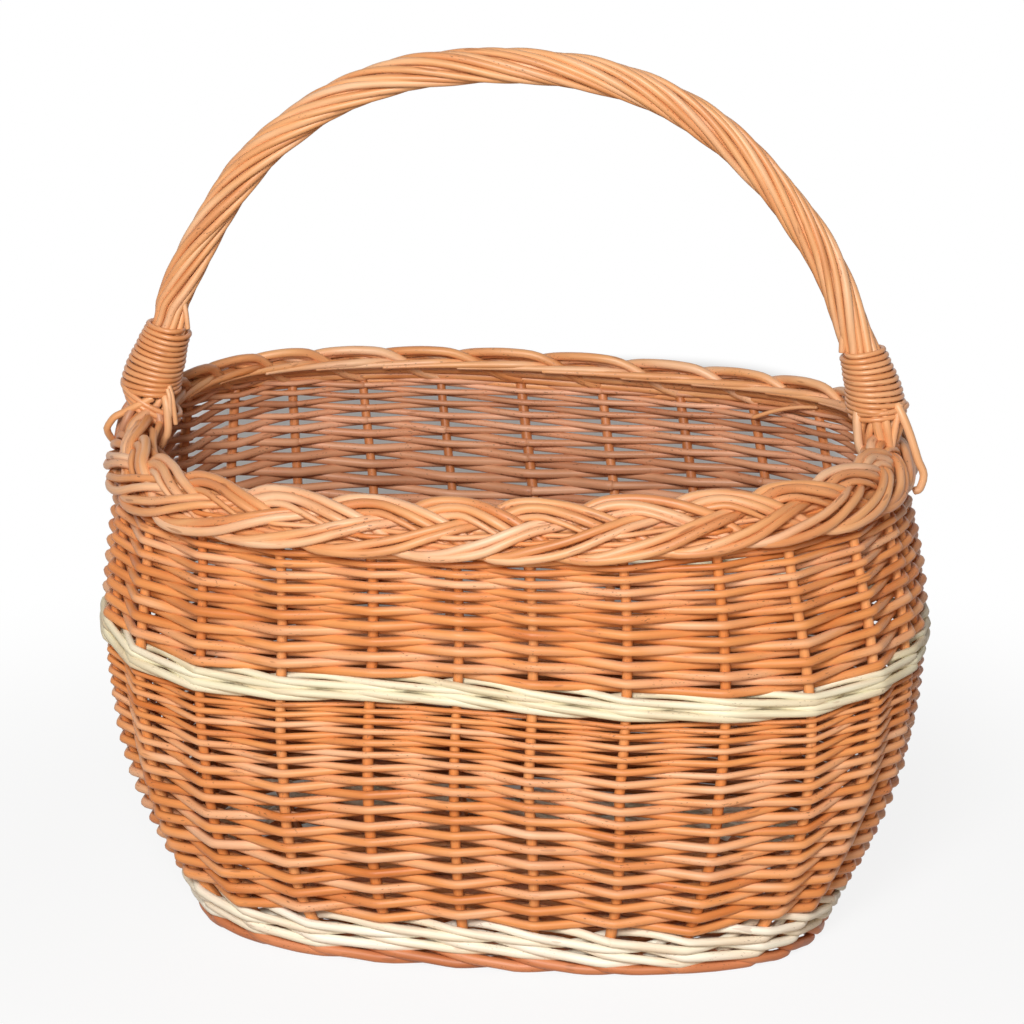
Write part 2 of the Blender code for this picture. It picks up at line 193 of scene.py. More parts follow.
def stake_share(step, height):
    """Share of the way round at a step, counted in stakes: they stand closer at the ends."""
    step = np.asarray(step, float)
    leans = [np.interp(step % STAKES, stake_numbers, line) for line in shifts]
    share = (step + over_heights(leans, SHIFT_LEVELS, height) + FIRST_STAKE) / STAKES
    return share - CROWDING / (4 * np.pi) * np.sin(4 * np.pi * share)


def between_stakes(step, height):
    """Places and directions along a row that runs nearly straight from stake to stake."""
    points, out, up = wall_axes(stake_share(step, height), height)
    low = np.floor(step)
    part = (step - low)[:, None]
    this_stake, next_stake = (wall_place(stake_share(low + more, height), height) for more in (0, 1))
    straight = this_stake * (1 - part) + next_stake * part
    return points + (straight - points) * STRAIGHTNESS, out, up


print("wall table:", wall_table.shape)

# %% [markdown]
# ## From centre lines to rods
# A willow rod is round, thicker at its butt than at its tip, and cut off slantwise or square at
# its ends. A Blender curve with a bevel could draw it, but each rod also needs its own tone, a
# place along its length for the grain, and a strip of the bake map. So the rods are written as
# mesh tubes: rings of points round the centre line, joined by quads, with a small rounded cap.
# All rods of one woven part become one mesh.

# %% Rods
rng = np.random.default_rng(29)
CAP_LENGTH, CAP_SHARE = 0.22, 0.82


class Rod:
    """One willow rod: its centre line, a direction to measure its rings from, and its radius."""

    def __init__(self, points, radius, facing, cast=None):
        self.points = np.asarray(points, float)
        self.radius = np.broadcast_to(radius, len(self.points)).astype(float)
        self.facing = np.broadcast_to(facing, self.points.shape).astype(float)
        self.cast = rng.random(3) if cast is None else np.asarray(cast, float)


def capped(rod):
    """The rod's centre line with one more place at each end, drawn in, for a worn cut."""
    points, radius, facing = rod.points, rod.radius, rod.facing
    start = unit(points[0] - points[1])
    end = unit(points[-1] - points[-2])
    first = points[0] + start * radius[0] * CAP_LENGTH
    last = points[-1] + end * radius[-1] * CAP_LENGTH
    points = np.concatenate([[first], points, [last]])
    radius = np.concatenate([[radius[0] * CAP_SHARE], radius, [radius[-1] * CAP_SHARE]])
    facing = np.concatenate([facing[:1], facing, facing[-1:]])
    return points, radius, facing


def ring_points(points, radius, facing, sides):
    """Rings of points round a centre line."""
    along = unit(np.gradient(points, axis=0))
    across = unit(np.cross(along, facing))
    out = np.cross(across, along)
    angle = np.arange(sides) * 2 * np.pi / sides
    offset = out[:, None] * np.cos(angle)[None, :, None] + across[:, None] * np.sin(angle)[None, :, None]
    return points[:, None] + offset * radius[:, None, None]


print("rods are ready")

# %% [markdown]
# The bake map wants every face on its own patch of a square. A rod unrolls into a long strip,
# so the strips are laid on the map like lines of writing: when a line is full, the rod goes on
# at the start of the next one. The end cuts get a last line of their own.

# %% Rods to one mesh
GRAIN_STEP = 1.37
STRIP_ROOM = 1.12
CUT_SIZE = 0.4


def map_lines(lengths, girth):
    """Start, end and line number of each piece of strip on a square map, and the map's size."""
    total = float(np.sum(lengths))
    longest = float(np.max(lengths))
    width = math.sqrt(total * girth) + longest
    starts = np.concatenate([[0.0], np.cumsum(lengths)[:-1]])
    line = np.floor(starts / width).astype(int)
    first = starts - line * width
    return first, first + lengths, line, width + longest, int(line.max()) + 2


def rods_to_mesh(name, rods, sides=10):
    """One mesh object from many rods, with grain places, tones, cut ends and a bake map."""
    places, grains, casts, cuts, quads, caps, lengths, around = [], [], [], [], [], [], [], []
    count = 0
    for number, rod in enumerate(rods):
        points, radius, facing = capped(rod)
        rings = ring_points(points, radius, facing, sides)
        n = len(points)
        step = np.linalg.norm(np.diff(points, axis=0), axis=1)
        way = np.concatenate([[0.0], np.cumsum(step)]) + number * GRAIN_STEP
        angle = np.arange(sides) * 2 * np.pi / sides
        grain = np.zeros((n, sides, 3))
        grain[..., 0] = way[:, None]
        grain[..., 1] = np.cos(angle) * radius[:, None]
        grain[..., 2] = np.sin(angle) * radius[:, None]
        index = count + np.arange(n * sides).reshape(n, sides)
        nxt = np.roll(index, -1, axis=1)
        quads.append(np.stack([index[:-1], nxt[:-1], nxt[1:], index[1:]], axis=-1).reshape(-1, 4))
        places.append(rings.reshape(-1, 3))
        grains.append(grain.reshape(-1, 3))
        casts.append(np.broadcast_to(rod.cast, (n * sides, 3)))
        cuts.append(np.zeros(n * sides))
        lengths.append(step)
        around.append(np.full(n - 1, radius.max()))
        count += n * sides
        for ring, order in ((0, -1), (n - 1, 1)):
            places.append(rings[ring])
            grains.append(grain[ring])
            casts.append(np.broadcast_to(rod.cast, (sides, 3)))
            cuts.append(np.ones(sides))
            caps.append(count + np.arange(sides)[::order])
            count += sides
    return finish_mesh(name, sides, places, grains, casts, cuts, quads, caps, lengths, around)


print("rods can be gathered")

# %% [markdown]
# Blender could be given the faces one after the other, but a basket has hundreds of thousands
# of them, so whole lists are handed over at once. The grain, the tone and the cut ends go along
# as attributes of the points, where the finish can read them.

# %% The mesh
def finish_mesh(name, sides, places, grains, casts, cuts, quads, caps, lengths, around):
    """Write the gathered rods to a mesh object."""
    quads, caps = np.concatenate(quads), np.array(caps)
    mesh = bpy.data.meshes.new(name)
    vertices = np.concatenate(places)
    loops = np.concatenate([quads.ravel(), caps.ravel()])
    sizes = np.concatenate([np.full(len(quads), 4), np.full(len(caps), sides)])
    mesh.vertices.add(len(vertices))
    mesh.vertices.foreach_set("co", vertices.ravel())
    mesh.loops.add(len(loops))
    mesh.loops.foreach_set("vertex_index", loops)
    mesh.polygons.add(len(sizes))
    mesh.polygons.foreach_set("loop_start", np.concatenate([[0], np.cumsum(sizes)[:-1]]))
    mesh.polygons.foreach_set("loop_total", sizes)
    mesh.polygons.foreach_set("use_smooth", np.arange(len(sizes)) < len(quads))
    for title, rows in (("grain", grains), ("cast", casts), ("cut", cuts)):
        values = np.concatenate(rows).astype(np.float32)
        kind, field = ("FLOAT", "value") if values.ndim == 1 else ("FLOAT_VECTOR", "vector")
        mesh.attributes.new(title, kind, "POINT").data.foreach_set(field, values.ravel())
    girth = 2 * math.pi * float(np.concatenate(around).max()) * STRIP_ROOM
    first, last, line, width, lines = map_lines(np.concatenate(lengths), girth)
    side = np.tile(np.arange(sides), len(first))
    first, last, line = (np.repeat(value, sides) for value in (first, last, line))
    v0 = (line + side / (sides * STRIP_ROOM)) / lines
    v1 = (line + (side + 1) / (sides * STRIP_ROOM)) / lines
    strip = columns(first / width, v0, first / width, v1, last / width, v1, last / width, v0)
    turn = np.arange(sides) * 2 * np.pi / sides
    middle = (np.arange(len(caps)) + 0.5) / len(caps)
    disc = np.zeros((len(caps), sides, 2))
    disc[..., 0] = middle[:, None] + np.cos(turn) * CUT_SIZE / max(len(caps), lines)
    disc[..., 1] = (lines - 0.5 + np.sin(turn) * CUT_SIZE) / lines
    bake_map = mesh.uv_layers.new(name="OFBake")
    bake_map.data.foreach_set("uv", np.concatenate([strip.ravel(), disc.ravel()]).astype(np.float32))
    mesh.update()
    mesh.validate()
    piece = bpy.data.objects.new(name, mesh)
    bpy.context.scene.collection.objects.link(piece)
    return piece


print("rods can be joined")

# %% [markdown]
# ## Writing a finish as sums
# Shader nodes are easier to read as sums. A `Value` wraps one socket, and adding or multiplying
# two of them adds a Math node.

# %% Sockets that can be added
class Value:
    """One output of a node tree, for use in sums."""

    def __init__(self, finish, socket):
        self.finish = finish
        self.socket = socket

    def math(self, operation, *others):
        return self.finish.node("ShaderNodeMath", {"operation": operation}, dict(enumerate((self, *others))))

    def __add__(self, other):
        return self.math("ADD", other)

    __radd__ = __add__

    def __sub__(self, other):
        return self.math("SUBTRACT", other)

    def __rsub__(self, other):
        return self.finish.node("ShaderNodeMath", {"operation": "SUBTRACT"}, {0: other, 1: self})

    def __mul__(self, other):
        return self.math("MULTIPLY", other)

    __rmul__ = __mul__

    def above(self, low, high):
        """0 below low, 1 above high, and smooth in between."""
        return self.finish.node("ShaderNodeMapRange", {"interpolation_type": "SMOOTHSTEP"},
                                {"Value": self, "From Min": low, "From Max": high})


print("sockets can be added")

# %% [markdown]
# Every other node comes from `Wiring.node`, which takes the node's type, its settings and what
# goes into its sockets. Colours are mixed with Mix nodes, because a Math node would turn them
# grey. A `Finish` is the wiring of a material, while the sky has a wiring of its own.

# %% Nodes
class Wiring:
    """A node tree under way."""

    def __init__(self, tree):
        self.tree = tree

    def node(self, kind, settings=None, sockets=None, output=0):
        """Add a node, set it up, fill its sockets, and return one of its outputs."""
        new = self.tree.nodes.new(kind)
        for key, value in (settings or {}).items():
            if key == "stops":
                for number, (place, color) in enumerate(value):
                    elements = new.color_ramp.elements
                    stop = elements[number] if number < len(elements) else elements.new(place)
                    stop.position = place
                    stop.color = (*color, 1.0)
            else:
                setattr(new, key, value)
        for key, value in (sockets or {}).items():
            self.feed(new.inputs[key], value)
        return Value(self, new.outputs[output])

    def feed(self, socket, value):
        """Link a value to a socket, or write a number or colour in it."""
        if isinstance(value, Value):
            self.tree.links.new(value.socket, socket)
        else:
            socket.default_value = value

    def part(self, vector, number):
        """One of the three numbers of a vector."""
        return self.node("ShaderNodeSeparateXYZ", {}, {0: vector}, number)

    def mix(self, one, other, share):
        """One colour at share 0, the other at share 1."""
        one, other = ((*color, 1.0) if isinstance(color, tuple) else color for color in (one, other))
        return self.node("ShaderNodeMix", {"data_type": "RGBA"}, {0: share, 6: one, 7: other}, 2)

    def shade(self, color, factor):
        """A colour times a grey value."""
        grey = self.node("ShaderNodeCombineColor", {}, {0: factor, 1: factor, 2: factor})
        kind = {"data_type": "RGBA", "blend_type": "MULTIPLY"}
        return self.node("ShaderNodeMix", kind, {0: 1.0, 6: color, 7: grey}, 2)


print("nodes can be wired")

# %% [markdown]
# Wood grain is noise that changes fast across a rod and slowly along it. So the noise reads
# the rod's own place, which is stretched by one number along the rod and another across it.

# %% Materials
class Finish(Wiring):
    """A material under way."""

    def __init__(self, name):
        self.material = bpy.data.materials.new(name)
        self.material.use_nodes = True
        super().__init__(self.material.node_tree)
        self.shader = self.tree.nodes["Principled BSDF"]

    def along_grain(self, grain, scale, across, detail, roughness=0.5):
        """Noise that is read along a rod at one scale and across it at another."""
        sockets = {0: grain, 1: (scale, across, across)}
        vector = self.node("ShaderNodeVectorMath", {"operation": "MULTIPLY"}, sockets)
        sockets = {"Vector": vector, "Scale": 1.0, "Detail": detail, "Roughness": roughness}
        return self.node("ShaderNodeTexNoise", {}, sockets)


print("finishes can be mixed")

# %% [markdown]
# ## Willow
# Buff willow is boiled in its bark and then peeled, which stains the wood orange. No two rods
# are alike: some are yellow, some salmon, some brown. Along a rod the colour drifts, fine
# streaks follow the grain, and specks of bark and small bud scars are left behind. The noise
# is read from the rod's own place, stretched along its length, so the grain follows each bend.
# The side of a rod that faces the inside of the basket can be given a darker, duller colour of its own, which
# is painted shade for the dim inside of the basket.

# %% Willow finish
BLUSH, SPECK, SCAR = (0.62, 0.21, 0.10), (0.10, 0.035, 0.012), (0.30, 0.10, 0.035)
PALE_PITH, DARK_PITH = (0.78, 0.53, 0.30), (0.42, 0.20, 0.08)
TONE_STOPS = (0.08, 0.92, 0.46)
# How dark and how bright the painted shade on the inner side of a rod runs, and how much of that side it
# covers.
INNER_SHADE_DIM, INNER_SHADE_BRIGHT, INNER_SHADE_COVER = 0.50, 1.75, 0.68


def marked(finish, color, grain, scar, bark, behind, specks):
    """A willow colour with its blushes, specks of bark and bud scars, and where the specks are."""
    fine = finish.along_grain(grain, 520.0, 1300.0, 1.0)
    where = finish.along_grain(grain, 34.0, 160.0, 1.0)
    blush = (where + scar * 0.14).above(0.50, 0.72) * 0.30
    color = finish.mix(color, BLUSH, blush * specks)
    patches = (where + bark * 0.16 + behind * 0.08).above(0.60, 0.70)
    spots = fine.above(0.65, 0.72) * patches * specks
    color = finish.mix(color, SPECK, spots)
    buds = finish.along_grain(grain, 85.0, 420.0, 0.0)
    buds = (buds + scar * 0.03).above(0.79, 0.84) * specks
    return finish.mix(color, SCAR, buds * 0.8), spots


def willow(name, dull, warm, light, specks=0.5, gloss=0.42, inner=None, spread=0.42, sheen=0.5):
    """A peeled willow finish that runs from a dull through a warm to a light colour."""
    finish = Finish(name)
    grain, cast = (finish.node("ShaderNodeAttribute", {"attribute_name": title}, output=1)
                   for title in ("grain", "cast"))
    cut = finish.node("ShaderNodeAttribute", {"attribute_name": "cut"}, output=2)
    tone, scar, bark = (finish.part(cast, number) for number in range(3))
    behind = finish.part(grain, 1).above(0.0006, -0.0010)
    drift = finish.along_grain(grain, 22.0, 130.0, 2.0)
    streaks = finish.along_grain(grain, 60.0, 1500.0, 3.0, 0.6)
    level = (tone - 0.5) * spread + drift * 0.9 + 0.05
    stops = tuple(zip(TONE_STOPS, (dull, light, warm)))
    color = finish.node("ShaderNodeValToRGB", {"stops": stops}, {0: level})
    # The inner side of the rod gets painted shade: the inner colour, darker or brighter with the rod's tone.
    if inner:
        dim, bright = (tuple(part * share for part in inner) for share in (INNER_SHADE_DIM, INNER_SHADE_BRIGHT))
        color = finish.mix(color, finish.mix(dim, bright, level), behind * INNER_SHADE_COVER)
    color = finish.shade(color, 0.80 + streaks * 0.40)
    color, spots = marked(finish, color, grain, scar, bark, behind, specks)
    pith = finish.mix(PALE_PITH, DARK_PITH, streaks.above(0.45, 0.62))
    finish.feed(finish.shader.inputs["Base Color"], finish.mix(color, pith, cut))
    finish.feed(finish.shader.inputs["Roughness"], gloss + drift * 0.10 + streaks * 0.10)
    height = streaks * 0.7 + drift * 0.8 - spots
    bump = finish.node("ShaderNodeBump", {}, {"Height": height, "Strength": 0.25, "Distance": 0.0004})
    finish.feed(finish.shader.inputs["Normal"], bump)
    finish.shader.inputs["Specular IOR Level"].default_value = sheen
    finish.shader.inputs["Coat Weight"].default_value = sheen * 0.2
    finish.shader.inputs["Coat Roughness"].default_value = 0.35
    return finish.material


print("willow is ready")

# %% [markdown]
# Each kind of rod gets its own dull, warm and light colour. The inner colours of the weaving and the stakes
# are painted shade. Below the middle band that painted shade is a dark brown red, because hardly any light
# gets down there and the holes would look pale without it. The peeled rods of the two bands are nearly white,
# and those of the lower band are painted paler, as painted light, because that band faces down and gets less
# light.

# %% Finishes
# The inner colours below are painted shade on the inner side of the rods.
siding_tones = (0.545, 0.152, 0.028), (0.765, 0.314, 0.1015), (0.85, 0.535, 0.343)
siding_finish = willow("siding_willow", *siding_tones, specks=0.6, gloss=0.37,
                       inner=(0.47, 0.25, 0.165), sheen=0.35)
# Much darker painted shade on the inner side of the weaving below the middle band.
shaded_finish = willow("low_siding_willow", *siding_tones, specks=0.6, gloss=0.37,
                       inner=(0.22, 0.065, 0.018), sheen=0.35)
stake_finish = willow("stake_willow", (0.60, 0.18, 0.036), (0.76, 0.28, 0.075), (0.83, 0.42, 0.17),
                      specks=0.4, inner=(0.34, 0.11, 0.035))
border_finish = willow("border_willow", (0.55, 0.18, 0.045), (0.76, 0.37, 0.155), (0.85, 0.57, 0.38),
                       specks=0.7, gloss=0.37)
handle_finish = willow("handle_willow", (0.54, 0.18, 0.048), (0.76, 0.38, 0.165), (0.86, 0.58, 0.38),
                       specks=0.6, gloss=0.36, spread=0.22)
whipping_finish = willow("whipping_willow", (0.49, 0.17, 0.045), (0.67, 0.285, 0.105), (0.82, 0.48, 0.26),
                         specks=0.4, gloss=0.27)
foot_finish = willow("foot_willow", (0.35, 0.095, 0.029), (0.52, 0.172, 0.060), (0.76, 0.315, 0.15),
                     specks=0.6)
loose_finish = willow("loose_willow", (0.34, 0.14, 0.07), (0.50, 0.24, 0.13), (0.66, 0.36, 0.22),
                      specks=0.8)
white_finish = willow("white_willow", (0.65, 0.54, 0.34), (0.82, 0.775, 0.575), (0.88, 0.86, 0.70),
                      specks=0.4, gloss=0.46)
# The lower band's rods are painted paler than the middle band's: painted light, because that band faces down
# and gets less light.
base_white_painted_light_finish = willow("base_white_willow", (0.82, 0.71, 0.52), (0.93, 0.89, 0.75), (0.95, 0.93, 0.84),
                           specks=0.4, gloss=0.46)
print("materials:", len(bpy.data.materials))

# %% [markdown]
# ## Making a piece
# The basket has no moving parts, so every piece rides on its one body. The imported solids that a piece
# stands for are hidden.

# %% Pieces
def make(name, rods, finish, slot, *nodes, sides=10):
    """One piece from many rods, with its finish, which hides the solids that it stands for. The slot is not
    used.
    """
    piece = rods_to_mesh(name, rods, sides)
    piece.data.materials.append(finish)
    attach(piece, "root")
    if nodes:
        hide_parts(*nodes)
    print(piece.name, "faces:", len(piece.data.polygons))


def numbered(stem, count, digits=1):
    """The names of solids that are counted from 1."""
    return [f"{stem}_{number + 1:0{digits}d}" for number in range(count)]


print("first stake:", numbered("stake", STAKES, 2)[0])

# %% [markdown]
# ## Hand-made unevenness
# No maker keeps a row quite level. A slow wave over the wall lifts and lowers whole groups of
# rows together, so that they never run into each other. On top of it come the lifts of the two
# bands from the table, which fade into each other between the bands. At the front the rim rises
# to the right, while the middle band and the foot fall to the right, and the middle of the rim's
# long sides hangs a little. The back of the rim is drawn to the left, and all that lies below
# the rim sits two millimetres to the right of it. Nothing may sink into the ground.

# %% Unevenness
WAVES = [(2, 0.9, 0.00050), (3, 2.6, 0.00045), (5, 4.4, 0.00030), (7, 1.3, 0.00025)]
WAVE_HEIGHT = 0.11
FOOT_SHIFT, FOOT_SHIFT_ZONE = 0.0020, (0.18, 0.05)
GROUND_ROOM = 0.0027
RIM_SLOPE, RIM_DIP, RIM_FALL, RIM_ZONE = 0.0194, 0.0033, 0.0018, (0.16, 0.07)
BELLY_SLOPE, BELLY_REACH, BELLY_PIVOT = 0.022, 0.042, 0.006
FOOT_SLOPE, FOOT_REACH, FOOT_LEVEL = 0.018, 0.008, 0.011
BACK_LEAN, BACK_LEVEL, BACK_ZONE, BACK_RISE = 0.12, 0.190, (0.085, 0.045), (0.13, 0.04)


def ramp(value, start, length):
    """0 up to a start, 1 from a length further on, and even in between."""
    return np.clip((value - start) / length, 0.0, 1.0)


def soft_step(value):
    """0 below 0, 1 above 1, and a smooth rise in between."""
    value = np.clip(value, 0.0, 1.0)
    return value * value * (3.0 - 2.0 * value)


def bell(value, middle, reach):
    """1 at the middle and nearly 0 two reaches away from it."""
    return np.exp(-(((value - middle) / reach) ** 2))


def band_lift(share, height):
    """The measured lift of the rows at shares of the way round and heights."""
    lines = [np.interp(share % 1.0, stake_share(stake_numbers, level), line)
             for level, line in zip(LIFT_LEVELS, lifts)]
    return over_heights(lines, LIFT_LEVELS, height) * ramp(height, 0.0, FOOT_REACH)


def settle(points, share):
    """Move points as the hand of the maker and the weight of the basket did."""
    x, y, height = np.moveaxis(np.array(points, float), -1, 0)
    front = -y / RIM[1]
    front_half = np.clip(front, 0.0, 1.0)
    wave = sum(size * np.sin(2 * np.pi * (turns * share + height / WAVE_HEIGHT) + start)
               for turns, start, size in WAVES)
    rim = (RIM_SLOPE * x * front - RIM_DIP * front**2 - RIM_FALL * front) * ramp(height, *RIM_ZONE)
    belly = BELLY_SLOPE * bell(height, BELLY_HEIGHT, BELLY_REACH) * (x - BELLY_PIVOT) * front_half
    foot = FOOT_SLOPE * bell(height, FOOT_LEVEL, FOOT_REACH) * np.clip(x, 0.0, None) * front_half
    risen = height + wave * ramp(height, 0.0, 0.03) + rim - belly - foot + band_lift(share, height)
    risen = np.maximum(risen, GROUND_ROOM)
    back = soft_step(ramp(y, *BACK_ZONE)) * ramp(height, *BACK_RISE)
    x = x - BACK_LEAN * (height - BACK_LEVEL) * back
    x = x + FOOT_SHIFT * (1.0 - ramp(risen, *FOOT_SHIFT_ZONE))
    return columns(x, y, risen)


print("waves:", len(WAVES))

# %% [markdown]
# ## Stakes
# The stakes are the upright rods. They are pushed in beside the base, bend out to the belly and
# in again to the rim, where they are turned down into the border. One tube for each does it.

# %% Stakes
STAKE_ENDS = (0.004, 0.2345)
STAKE_FULLNESS = 1.12


def unlike(spread=0.03):
    """How thick a rod is by chance, beside its fellows."""
    return 1.0 + rng.normal(0.0, spread)


def stake_rods():
    """All the stakes, from the base to the border."""
    rods = []
    heights = np.linspace(*STAKE_ENDS, 48)
    for number in range(STAKES):
        share = stake_share(number, heights)
        points, out, up = wall_axes(share, heights)
        taper = np.linspace(1.06, 0.94, len(heights)) * unlike()
        thick = STAKE_RADIUS * STAKE_FULLNESS * taper
        rods.append(Rod(settle(points, share), thick, out))
    return rods


make("stakes", stake_rods(), stake_finish, "stake_willow", *numbered("stake", STAKES, 2))

# %% [markdown]
# ## Plain weaving
# One rod passes in front of a stake, behind the next, and so on. With an odd number of stakes
# the same rod passes on the other side in the next round, so one endless spiral makes the
# whole wall. Between two stakes a rod runs almost straight, and it bends close round each
# stake. Each round stays level and climbs to the next one at the back. The spiral is cut into
# rods of 12 to 16 pairs of stakes, which is about one round. Each is thick at its butt and thin
# at its tip, and its ends lie hidden on the inside.

# %% In and out
SPOTS = np.array([0.0, 0.05, 0.12, 0.24, 0.38, 0.50, 0.62, 0.76, 0.88, 0.95])
SAMPLES = len(SPOTS)
BEND = 0.06
CLIMB_STEP = 11.0
CLIMB_SHARE = 0.15


def rounds_at(step):
    """How many rounds are done at a step: level for most of a round, then a short climb."""
    turn = (step - CLIMB_STEP) / STAKES
    whole = np.floor(turn)
    return whole + soft_step((turn - whole - (1.0 - CLIMB_SHARE)) / CLIMB_SHARE)


def steps_from(first, stakes):
    """Steps along the way round, closer together where a rod bends round a stake."""
    whole = np.arange(int(stakes))[:, None] + SPOTS[None, :]
    return np.append(whole.ravel(), int(stakes)) + first


def in_and_out(step):
    """1 outside an even stake, -1 inside an odd one, and straight in between."""
    nearest = np.round(step)
    away = np.sqrt((step - nearest) ** 2 + BEND**2) - BEND
    away = away / (math.sqrt(0.25 + BEND**2) - BEND)
    return np.cos(np.pi * nearest) * (1.0 - away)


def shaky(step, size):
    """A small random number for each stake that is passed, blended in between."""
    knots = np.arange(math.floor(step[0]), math.ceil(step[-1]) + 1)
    return np.interp(step, knots, rng.normal(0.0, size, len(knots)))


print("places between two stakes:", SAMPLES)

# %% [markdown]
# The rows lie closer together towards the top of each stretch, where the maker beats them down.
# Their heights are the sum of the widths below them, and each rod is about as thick as its row
# is wide. Higher up a rod also rises a little where it passes outside a stake, and drops inside.

# %% Siding
SNUG = 0.86
OVERLAP = 0.0001
SIDING_JITTER = 0.00020
RIDE = 0.30
FEWEST_PAIRS, MOST_PAIRS, REST_STAKES = 12, 16, 8


def siding_rods(bottom, top, rounds, close_from, close_to, fill):
    """The rods of one stretch of plain weaving, which lie closer together towards its top."""
    step = steps_from(CLIMB_STEP, rounds * STAKES)
    done = rounds_at(step) / rounds
    middle = (done * rounds + 0.5) / (rounds + 1)
    ladder = np.linspace(0.0, 1.0, 201)
    width = 1.0 - (1.0 - close_to) * ramp(ladder, close_from, 1.0 - close_from)
    rungs = np.concatenate([[0.0], np.cumsum(0.5 * (width[1:] + width[:-1]))])
    height = bottom + (top - bottom) * np.interp(middle, ladder, rungs / rungs[-1])
    pitch = (top - bottom) * np.interp(middle, ladder, width / width.mean()) / (rounds + 1)
    share = stake_share(step, height)
    points, out, up = between_stakes(step, height + shaky(step, SIDING_JITTER))
    radius = fill * pitch / up[:, 2]
    ride = ramp(height, 0.10, 0.10) * RIDE
    rods = []
    start = 0
    while start < len(step) - SAMPLES:
        pairs = int(rng.integers(FEWEST_PAIRS, MOST_PAIRS + 1))
        end = min(start + 2 * pairs * SAMPLES, len(step) - 1)
        if len(step) - 1 - end < REST_STAKES * SAMPLES:
            end = len(step) - 1
        part = slice(start, end + 1)
        thick = radius[part] * (np.linspace(1.07, 0.90, end + 1 - start) * unlike())
        wave = in_and_out(step[part]) * (STAKE_RADIUS + thick - OVERLAP) * SNUG
        line = points[part] + (out[part] + up[part] * ride[part, None]) * wave[:, None]
        rods.append(Rod(settle(line, share[part]), thick, out[part]))
        start = end
    return rods


lower_rods = siding_rods(0.0255, 0.1443, rounds=32, close_from=0.40, close_to=0.50, fill=0.530)
upper_rods = siding_rods(0.1560, 0.2435, rounds=24, close_from=0.20, close_to=0.45, fill=0.535)
make("lower_siding", lower_rods, shaded_finish, "siding_willow", *numbered("lower_siding", 2))
make("upper_siding", upper_rods, siding_finish, "siding_willow", *numbered("upper_siding", 2))

# %% [markdown]
# ## Wales
# A wale is a rope of three rods. Each passes in front of two stakes and behind one, and comes
# out above the other two, so outside it shows slanting strokes. One path does for all three,
# a step apart: down over two stakes on the outside, up again behind the third.

# %% Wales
WALE_LEVELS = (0.5, 0.0, -0.5, -0.9, 0.0, 0.9)
WALE_SIDES = (1.0, 1.08, 1.0, 0.1, -1.0, 0.1)
WALE_JITTER = 0.00022


def wave_through(phase, values):
    """A smooth periodic line through values at whole phases."""
    count = len(values)
    values = np.asarray(values, float)
    base = np.floor(phase).astype(int)
    u = phase - base
    before, here, after, beyond = (values[(base + shift) % count] for shift in (-1, 0, 1, 2))
    return here + 0.5 * u * (after - before + u * (2 * before - 5 * here + 4 * after - beyond
                                                   + u * (3 * (here - after) + beyond - before)))


def wale_rods(bottom, spacing, rounds, radius):
    """A band of three-rod wale that starts and ends at the back."""
    rods = []
    for number in range(3):
        step = steps_from(CLIMB_STEP + number, rounds * STAKES)
        phase = step - number - CLIMB_STEP
        level = wave_through(2.0 * phase, WALE_LEVELS)
        side = wave_through(2.0 * phase, WALE_SIDES)
        height = bottom + spacing * (1.0 + level + 2.0 * rounds_at(step))
        share = stake_share(step, height)
        points, out, up = between_stakes(step, height)
        jitter = shaky(step, WALE_JITTER)
        thick = radius * np.linspace(1.08, 0.90, len(step)) * unlike()
        line = points + out * (side * (STAKE_RADIUS + thick))[:, None] + up * jitter[:, None]
        joins = rng.choice(np.arange(12, len(step) // SAMPLES - 6), rounds, replace=False) * SAMPLES
        cuts = [0, *sorted(joins), len(step) - 1]
        for first, last in zip(cuts[:-1], cuts[1:]):
            part = slice(first, last + 1)
            rods.append(Rod(settle(line[part], share[part]), thick[part], out[part]))
    return rods


foot_rods = wale_rods(0.0023, spacing=0.0034, rounds=1, radius=0.0026)
base_rods = wale_rods(0.0088, spacing=0.0038, rounds=2, radius=0.0022)
middle_rods = wale_rods(0.1448, spacing=0.0028, rounds=2, radius=0.0019)
make("foot_wale_rods", foot_rods, foot_finish, "foot_willow", "foot_wale")
make("base_wale_rods", base_rods, base_white_painted_light_finish, "white_willow", "base_wale")
make("middle_wale_rods", middle_rods, white_finish, "white_willow", "middle_wale")

# %% [markdown]
# ## The plaited border
# The ends of the stakes are turned down along the rim and plaited. Each one comes up inside,
# runs over the top edge and down to the outside, passes under its neighbours, sweeps along the
# lower edge, rises again over the next ones and ends inside the rim. The border gets places of
# its own for that: along the rim, across the border, and up or down in its layers.

# %% Places on the border
UP = (0.0, 0.0, 1.0)
BORDER_TILT = math.radians(46.0)
BORDER_HALF = 0.0124
BORDER_LAYER = 0.0025
BORDER_BOW = 0.0024
BORDER_HEIGHT = 0.2420
BORDER_WIDER, BORDER_INSET = 0.005, 0.0122
KNOT_WEIGHTS = (3.0, 1.0, 0.3)
border_outline = (RIM[0] + BORDER_WIDER, RIM[1] + BORDER_WIDER, RIM[2])
border_middle = inset_outline(border_outline, BORDER_INSET)


def smooth_line(knots, count):
    """A smooth line through knots, with its points evenly spaced between them."""
    knots = np.asarray(knots, float)
    step = np.linalg.norm(np.diff(knots * KNOT_WEIGHTS, axis=0), axis=1)
    way = np.concatenate([[0.0], np.cumsum(step)])
    slope = np.gradient(knots, way, axis=0)
    spot = np.linspace(0.0, way[-1], count)
    base = np.clip(np.searchsorted(way, spot, side="right") - 1, 0, len(knots) - 2)
    span = (way[base + 1] - way[base])[:, None]
    u = ((spot - way[base])[:, None]) / span
    return ((2 * u**3 - 3 * u**2 + 1) * knots[base] + (u**3 - 2 * u**2 + u) * span * slope[base]
            + (3 * u**2 - 2 * u**3) * knots[base + 1] + (u**3 - u**2) * span * slope[base + 1])


